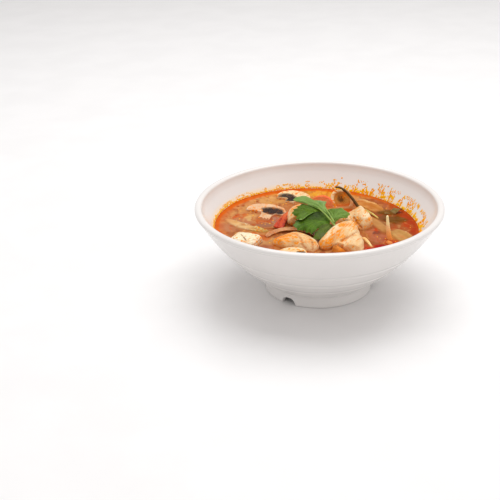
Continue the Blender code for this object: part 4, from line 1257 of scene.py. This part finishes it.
def sunk_map():
    """Grids of how clearly sunk pieces show through, their colour, where pieces pierce, and the painted shade
    round them.
    """
    shown = np.zeros((MAP_SIZE, MAP_SIZE))
    total = np.zeros((MAP_SIZE, MAP_SIZE, 1))
    colour = np.zeros((MAP_SIZE, MAP_SIZE, 3))
    pierced = np.zeros((MAP_SIZE, MAP_SIZE))
    for verts, colours in sunk:
        depth = broth_level(verts[:, 0]) - verts[:, 2]
        i, j = map_cells(verts[:, 0], verts[:, 1])
        under = depth > -0.2
        cells = (i[under], j[under])
        weight = np.exp(-np.maximum(depth[under], 0) / SEE_DEPTH)[:, None]
        np.maximum.at(shown, cells, weight[:, 0])
        np.add.at(total, cells, weight ** 2)
        np.add.at(colour, cells, weight ** 2 * colours[under])
        near = np.abs(depth) < 0.9
        pierced[i[near], j[near]] = 1
    colour = colour / np.maximum(total, 1e-9)
    known = (total > 0).astype(float)
    for _ in range(3):
        for axis in (0, 1):
            colour = sum(np.roll(colour * known, k, axis) for k in (-1, 0, 1))
            count = sum(np.roll(known, k, axis) for k in (-1, 0, 1))
            colour = colour / np.maximum(count, 1e-9)
            known = (count > 0).astype(float)
        shown = spread(shown, 1) / 9
    for _ in range(2):
        pierced = spread(pierced, 1) / 9
    # Painted shade: where pieces pierce, spread wide.
    shade = pierced
    for _ in range(3):
        shade = spread(shade, 2) / 25
    return shown, colour, pierced, shade


def make_broth():
    """The broth's surface, finely gridded and coloured, over a body that reaches just into the wall."""
    steps = 231
    disc = square_to_disc(steps)
    limit = broth_edge(np.arctan2(disc[:, 1], disc[:, 0]))[0]
    x, y = (disc * (limit + INTO_WALL)[:, None]).T
    flat = points_of(x, y)
    edge = limit - np.hypot(x, y)
    cells = map_cells(x, y)
    shown, colour, pierced, shade = (grid[cells] for grid in sunk_map())
    z = broth_level(x) + 0.10 * fractal(flat, 16, 110) + 0.05 * fractal(flat, 4, 111)
    z = z + 0.8 * np.exp(-np.maximum(edge, 0) / 1.2) + 0.45 * pierced
    colours = broth_colours(x, y, edge)
    # Painted shade: the broth darker and redder round the pieces that pierce it.
    colours = blend(colours, colours * linear(214, 168, 150), 0.9 * smooth(0.05, 0.5, shade))
    colours = blend(colours, colour * linear(230, 206, 186), np.clip(0.95 * shown, 0, 0.88))
    colours = np.maximum(colours - SHEEN, 0.004)
    top = points_of(x, y, z)
    grid = np.arange(steps * steps).reshape(steps, steps)
    rim = np.concatenate([grid[:, 0], grid[-1, 1:], grid[-2::-1, -1], grid[0, -2:0:-1]])
    around = top[rim, :2] / np.hypot(top[rim, 0], top[rim, 1])[:, None]
    wall_t = broth_edge(np.arctan2(around[:, 1], around[:, 0]))[1]
    rows = []
    for share in np.linspace(0, 1, 16)[1:]:
        radius, height = inner_wall(wall_t + (1 - wall_t) * share).T
        rows.append(np.column_stack([around * (radius + INTO_WALL)[:, None], height - 0.2]))
    verts = np.concatenate([top] + rows + [[(0, 0, INNER_FLOOR[1] - 0.4)]])
    faces = [face[::-1] for face in sheet_faces(steps, steps)]
    before = rim
    for row in np.arange(steps * steps, len(verts) - 1).reshape(len(rows), -1):
        faces += np.stack([before, np.roll(before, -1), np.roll(row, -1), row], 1).tolist()
        before = row
    last = np.full(len(rim), len(verts) - 1)
    faces += np.stack([before, np.roll(before, -1), last], 1).tolist()
    deep = np.tile(linear(176, 96, 50), (len(verts) - len(top), 1))
    colours = np.concatenate([colours, deep])
    add_piece("broth_fine", verts, faces, broth_material(), ["broth"], colours)


def domes(places, normals, radii, height, stretch, along):
    """Small flattened drops on a surface, as one mesh: a top point and three rings for each."""
    few, many = 6, 8
    shape = [(0.0, 0.0, 1.0)]
    for level, count in ((0.75, few), (0.3, many), (-0.2, many)):
        out = sin(1.35 * (1.05 - level) / 1.05 + 0.15)
        shape += [(out * cos(a), out * sin(a), level) for a in full_turn(count)]
    shape = np.array(shape)
    second, third = 1 + few, 1 + few + many
    pattern = [[0, 1 + k, 1 + (k + 1) % few] for k in range(few)]
    for k in range(many):
        n = (k + 1) % many
        pattern.append([second + k, third + k, third + n, second + n])
        inner = 1 + k * few // many
        inner_next = 1 + ((k + 1) * few // many) % few
        pattern.append([inner, second + k, second + n] + [inner_next] * (inner != inner_next))
    verts, faces = [], []
    for n, (place, normal, radius) in enumerate(zip(places, normals, radii)):
        side = unit(np.cross(normal, along[n]))
        axes = np.array([side, stretch[n] * np.cross(normal, side), height * np.array(normal)])
        verts.append(shape @ axes * radius + place)
        faces += [[i + n * len(shape) for i in face] for face in pattern]
    return np.concatenate(verts), faces


def make_oil_ring():
    """The ring of fine drops of chilli oil left on the wall over the broth."""
    drops = []
    for _ in range(OIL_TRIES):
        angle = rng.uniform(0, tau)
        right = float(smooth(0.0, 0.9, cos(angle - radians(12))))
        back = float(smooth(-0.2, 0.8, sin(angle)))
        level = broth_level(BROTH_RADIUS * cos(angle))
        reach = 0.72 + 0.28 * float(smooth(-0.7, 0.2, cos(angle)))
        top = (1.3 + 2.7 * back + 3.2 * right + max(LEVEL - level, 0)) * reach
        rise = top * rng.uniform(0, 1) ** (1.5 - 0.3 * right)
        height = level + 1.0 + rise
        t = float(np.interp(-height, -WALL[:, 1], WALL_STEPS))
        on_wall, higher = inner_wall([t, t - 0.01])
        out, up = unit(higher - on_wall)
        outwards = np.array((cos(angle), sin(angle), 0))
        place = outwards * on_wall[0] + np.array((0, 0, height))
        clump = float(value_noise(place[None], 4.2, 51)[0])
        if clump < 0.04 - 0.14 * right and rise > 0.9 - 0.7 * right:
            continue
        normal = -outwards * up + np.array((0, 0, out))
        radius = rng.uniform(0.30, 0.62 + 0.40 * right) * (1 - 0.40 * rise / 8)
        stretch = 1 + right * rng.uniform(0, 1.6)
        up_wall = outwards * out + np.array((0, 0, up))
        drops.append((place + normal * 0.02, normal, radius, stretch, up_wall))
    direction, height = LONE_DROP
    outwards = np.array((cos(radians(direction)), sin(radians(direction)), 0))
    over = np.array((0, 0, 1.0))
    radius = float(np.interp(-height, -WALL[:, 1], WALL[:, 0]))
    normal, up_wall = over * 0.6 - outwards * 0.8, over * 0.8 + outwards * 0.6
    drops.append((outwards * radius + over * height, normal, 0.75, 1.4, up_wall))
    places, normals, radii, stretch, along = zip(*drops)
    verts, faces = domes(places, normals, radii, 0.35, stretch, along)
    add_piece("oil_ring", verts, faces, oil_material())


def make_oil_drops():
    """Single drops of chilli oil that float on the broth."""
    places, radii = [], []
    while len(places) < FLOATING_DROPS:
        x, y = rng.uniform(-80, 80, 2)
        place = np.array((x, y, broth_level(x) + 0.02))
        if np.hypot(x, y) < STREWN_RADIUS and value_noise(place[None], 15, 52)[0] >= 0.0:
            places.append(place)
            radii.append(rng.uniform(0.25, 0.75))
    count = len(places)
    normals, along = [(0.0, 0.0, 1.0)] * count, [(0.31, 0.95, 0.02)] * count
    verts, faces = domes(places, normals, radii, 0.22, [1.0] * count, along)
    add_piece("oil_drops", verts, faces, oil_material())


# Layers of onion: length, width, thickness, cup and curl; place; turn; light and dark colour; other looks
PETALS = (
    ("onion_arc", (66, 5.8, 2.0, 1.0, 180), (-15.1, -10.2, 54.6), (0, 0, -22),
     ((228, 172, 122), (180, 112, 68)), {}),
    ("onion_strip_left", (43, 9, 2.0, 1.2, -30), (-60, 0, 52.8), (0, 0, -38),
     ((255, 238, 190), (244, 212, 146)),
     {"kind": "oily", "blunt": 0.15, "ragged": 0.22, "steeped": ((234, 178, 122), (214, 190, 92))}),
    ("onion_petal_back", (27, 13, 1.6, 2.5, 40), (46.5, 43, 52.8), (0, 3, -50),
     ((240, 190, 116), (206, 138, 62)), {}),
    ("onion_strip_right", (34, 8, 2.0, 1.0, 12), (49, 3.5, 52.8), (0, 0, -68),
     ((222, 188, 130), (186, 142, 86)), {}),
    ("onion_petal_right", (25, 13, 1.6, 2.5, 30), (66.0, -20, 52.4), (0, 2, -70),
     ((238, 214, 150), (196, 164, 98)), {}),
)


def make_toppings():
    """Everything cut up in the soup, in its place."""
    pink = ((232, 196, 158), (214, 160, 116))
    pale = ((246, 220, 176), (230, 184, 124))
    cream = ((250, 240, 214), (240, 212, 160))
    make_slice("mushroom_slice_left", (35, 14), (10, 15), 5, (-42.5, 29, 52.3), (4, 2, -20), 3,
               ((6, 1.8), (10.0, 6.8)), 71, pink)
    make_slice("mushroom_slice_back", (31, 13), (8, 7), 6, (-18.3, 55, 52.8), (8, 0, -28), 0,
               ((-5.0, -1.2), (9.2, 6.6)), 72, pale)
    make_slice("mushroom_slice_front", (25, 12), (8, 7), 6, (-24.0, -58.9, 52.8), (3, 0, 25), 0,
               ((6.8, -1.0), (3.8, 3.4)), 73, pale, "oily")
    make_block("mushroom_chunk_fine", (24, 18, 11), 4.5, (-59.3, -30.5, 53.1), (3, -2, -29), 74, cream,
               "mushroom", "oily", "mushroom_chunk", crack=((-5.3, 2.6), (3.6, -5.5)))
    make_block("mushroom_bit_fine", (12.5, 11, 9.5), 6.0, (14.0, -52, 53.4), (0, 2, 28), 75,
               ((226, 150, 66), (190, 96, 30)), "mushroom", "mushroom", "mushroom_bit", rough=0.25,
               slant=0.62, detail=0.5)
    make_cap("mushroom_cap", 9.4, 8.5, 3.5, (23.0, 45.6, 55.7), (-127, 0, 12), 76)
    make_tomato("tomato_wedge", 14.6, 23, 75, (5.0, 42.5, 46.6), (-50, 12, -24), 77)
    for seed, (node, sizes, at, turn, colours, looks) in enumerate(PETALS, 80):
        make_petal(node + "_fine", *sizes, afloat(*at), turn, colours, seed, node, **looks)
    make_petal("tomato_skin", 21, 9, 0.9, 1.4, 50, afloat(41.0, -43.0, 52.9), (0, 3, 32),
               ((206, 60, 34), (160, 24, 14)), 90, slot="tomato")
    make_sliver("lemongrass_strip", 24, 2.6, 2.0, 1.0, afloat(38.5, 36, 53.6), (0, 0, -60),
                ((206, 188, 96), (176, 150, 66)), 91)
    make_sliver("lemongrass_upright", 24.8, 5.2, 4.2, 0.6, (55.5, -25, 46.5), (0, -98, 0),
                ((255, 240, 186), (250, 160, 44)), 92)
    make_sliver("lemongrass_sliver", 18, 3, 2.4, 1.0, afloat(33.5, -25, 54.0), (0, 4, -72),
                ((252, 222, 160), (244, 190, 120)), 93)
    make_block("base_bit", (4.5, 6.5, 5.0), 2.4, afloat(53.0, -33.5, 52.4), (0, 8, 15), 94,
               ((226, 130, 50), (196, 84, 24)), "lemongrass", "lemongrass", rough=0.3, detail=0.4)
    make_stalk("stalk", (17.8, 49, 66.2), (24.5, 48, 69.4), (36.2, 34, 53.6), 1.5, 2.5, 95)
    make_wilted("herb_leaf_near", 18, 13, 0.0, afloat(56, 12, 52.3), (0, 0, 5), 96)
    make_wilted("herb_leaf_far", 19, 8, 3.5, afloat(53.5, 28, 52.6), (0, 0, 5), 97)


def make_flakes():
    """Fine flakes of dried chilli that float on the broth."""
    parts = []
    spots = [(-65.5, 42.5)]
    while len(spots) < FLAKES:
        spot = tuple(rng.uniform(-76, 76, 2))
        if np.hypot(*spot) < STREWN_RADIUS:
            spots.append(spot)
    rows, columns = 10, 14
    s = np.linspace(-0.98, 0.98, rows)[:, None]
    phi = full_turn(columns)
    for n, (x, y) in enumerate(spots):
        size = rng.uniform(0.5, 1.1)
        ragged = value_noise(points_of(s[:, 0] * 3, n), 1.0, n)[:, None]
        wide = size * np.sqrt(1 - s * s) * (1 + 0.3 * ragged)
        height = 0.22 * wide / size * np.sin(phi) + 0.12 * np.cos(2.2 * s)
        verts, faces = tube(points_of(1.5 * size * s, wide * np.cos(phi), height))
        colours = linear(150, 24, 14) * (0.8 + 0.4 * value_noise(verts, 0.6, n))[:, None]
        verts = placed(verts, (x, y, broth_level(x) + 0.15), (0, 0, rng.uniform(0, 180)))
        parts.append((verts, faces, colours))
    verts, faces, colours = joined(*parts)
    add_piece("chilli_flakes", verts, faces, materials["tomato"], (), colours)


# ---------------------------------------------------------------- camera, light and floor

def set_camera():
    """Looks down at the soup from the near side, a little rolled."""
    pitch, roll = radians(CAMERA_PITCH), radians(CAMERA_ROLL)
    right = Vector((1, 0, 0))
    ahead = Vector((0, cos(pitch), -sin(pitch)))
    up = Vector((0, sin(pitch), cos(pitch)))
    right, up = right * cos(roll) + up * sin(roll), up * cos(roll) - right * sin(roll)
    data = bpy.data.cameras.new("camera")
    data.lens = LENS
    data.sensor_width = SENSOR_WIDTH
    data.clip_start = 0.01
    camera = link("camera", data)
    matrix = Matrix((right, up, -ahead)).transposed().to_4x4()
    matrix.translation = Vector(CAMERA_PLACE) * MM
    camera.matrix_world = matrix
    bpy.context.scene.camera = camera


SOFTBOXES = (                                                  # name, place in metres, size, power
    ("softbox_over", (0.12, 0.30, 1.3), 1.3, 14.1),
    ("softbox_right", (1.3, -0.8, 0.45), 0.9, 1.9),
    ("softbox_left", (-1.5, -0.6, 0.25), 0.9, 1.0),
)


def set_stage():
    """Even light all round, three square softboxes that face the soup, and a pale floor."""
    world = bpy.data.worlds.new("studio")
    world.use_nodes = True
    background = world.node_tree.nodes["Background"].inputs
    background["Color"].default_value = (1.0, 0.98, 0.97, 1)
    background["Strength"].default_value = 0.60
    bpy.context.scene.world = world
    bpy.context.scene.view_settings.view_transform = "Standard"
    for name, at, size, power in SOFTBOXES:
        data = bpy.data.lights.new(name, "AREA")
        data.shape = "SQUARE"
        data.size = size
        data.energy = power
        light = link(name, data)
        light.location = at
        light.rotation_euler = (Vector((0, 0, 0.05)) - Vector(at)).to_track_quat("-Z", "Y").to_euler()
    mesh = bpy.data.meshes.new("floor")
    mesh.from_pydata([(-4, -4, 0), (4, -4, 0), (4, 4, 0), (-4, 4, 0)], [], [(0, 1, 2, 3)])
    made, tree, shader = new_material("pale_floor", 0.5, specular=0.3)
    finish(tree, shader, mixed(tree, noise_mask(tree, 60, 0.3, 0.7), (244, 243, 243), (241, 240, 240)))
    mesh.materials.append(made)
    link("floor", mesh)


materials = {
    # The oily material's dark brown rim paints shade along its waterline.
    "oily": flesh_material("oily_mushroom", 0.5, (244, 146, 12), roughness=0.5, subsurface=0.1, size=2.2,
                           wet=0.2, ring=1.6, dots=(3.3, 1.25), rim=(150, 58, 14)),
    "mushroom": flesh_material("mushroom_flesh", 0.9, (236, 132, 26), roughness=0.5, subsurface=0.1,
                               wet=0.2, ring=0.6),
    "onion": flesh_material("onion_layer", 0.6, (232, 120, 20), roughness=0.22, subsurface=0.3, wet=0.6),
    # Lemongrass and tomato get a faint glow of painted light.
    "lemongrass": flesh_material("lemongrass", 0.2, (226, 120, 30), roughness=0.4, subsurface=0.4, wet=0.3,
                                 painted_glow=0.10),
    "tomato": flesh_material("tomato_skin", 0.2, (246, 150, 60), roughness=0.2, subsurface=0.2, wet=0.6,
                             painted_glow=0.03),
    "stalk": leaf_material("dark_stalk", 0.38),
    "herb": leaf_material("wilted_herb", 0.3),
    "coriander": leaf_material("coriander_leaf", 0.42),
}
make_bowl()
make_shrimps()
make_toppings()
make_sprig()
make_broth()
make_oil_ring()
make_oil_drops()
make_flakes()
set_camera()
set_stage()
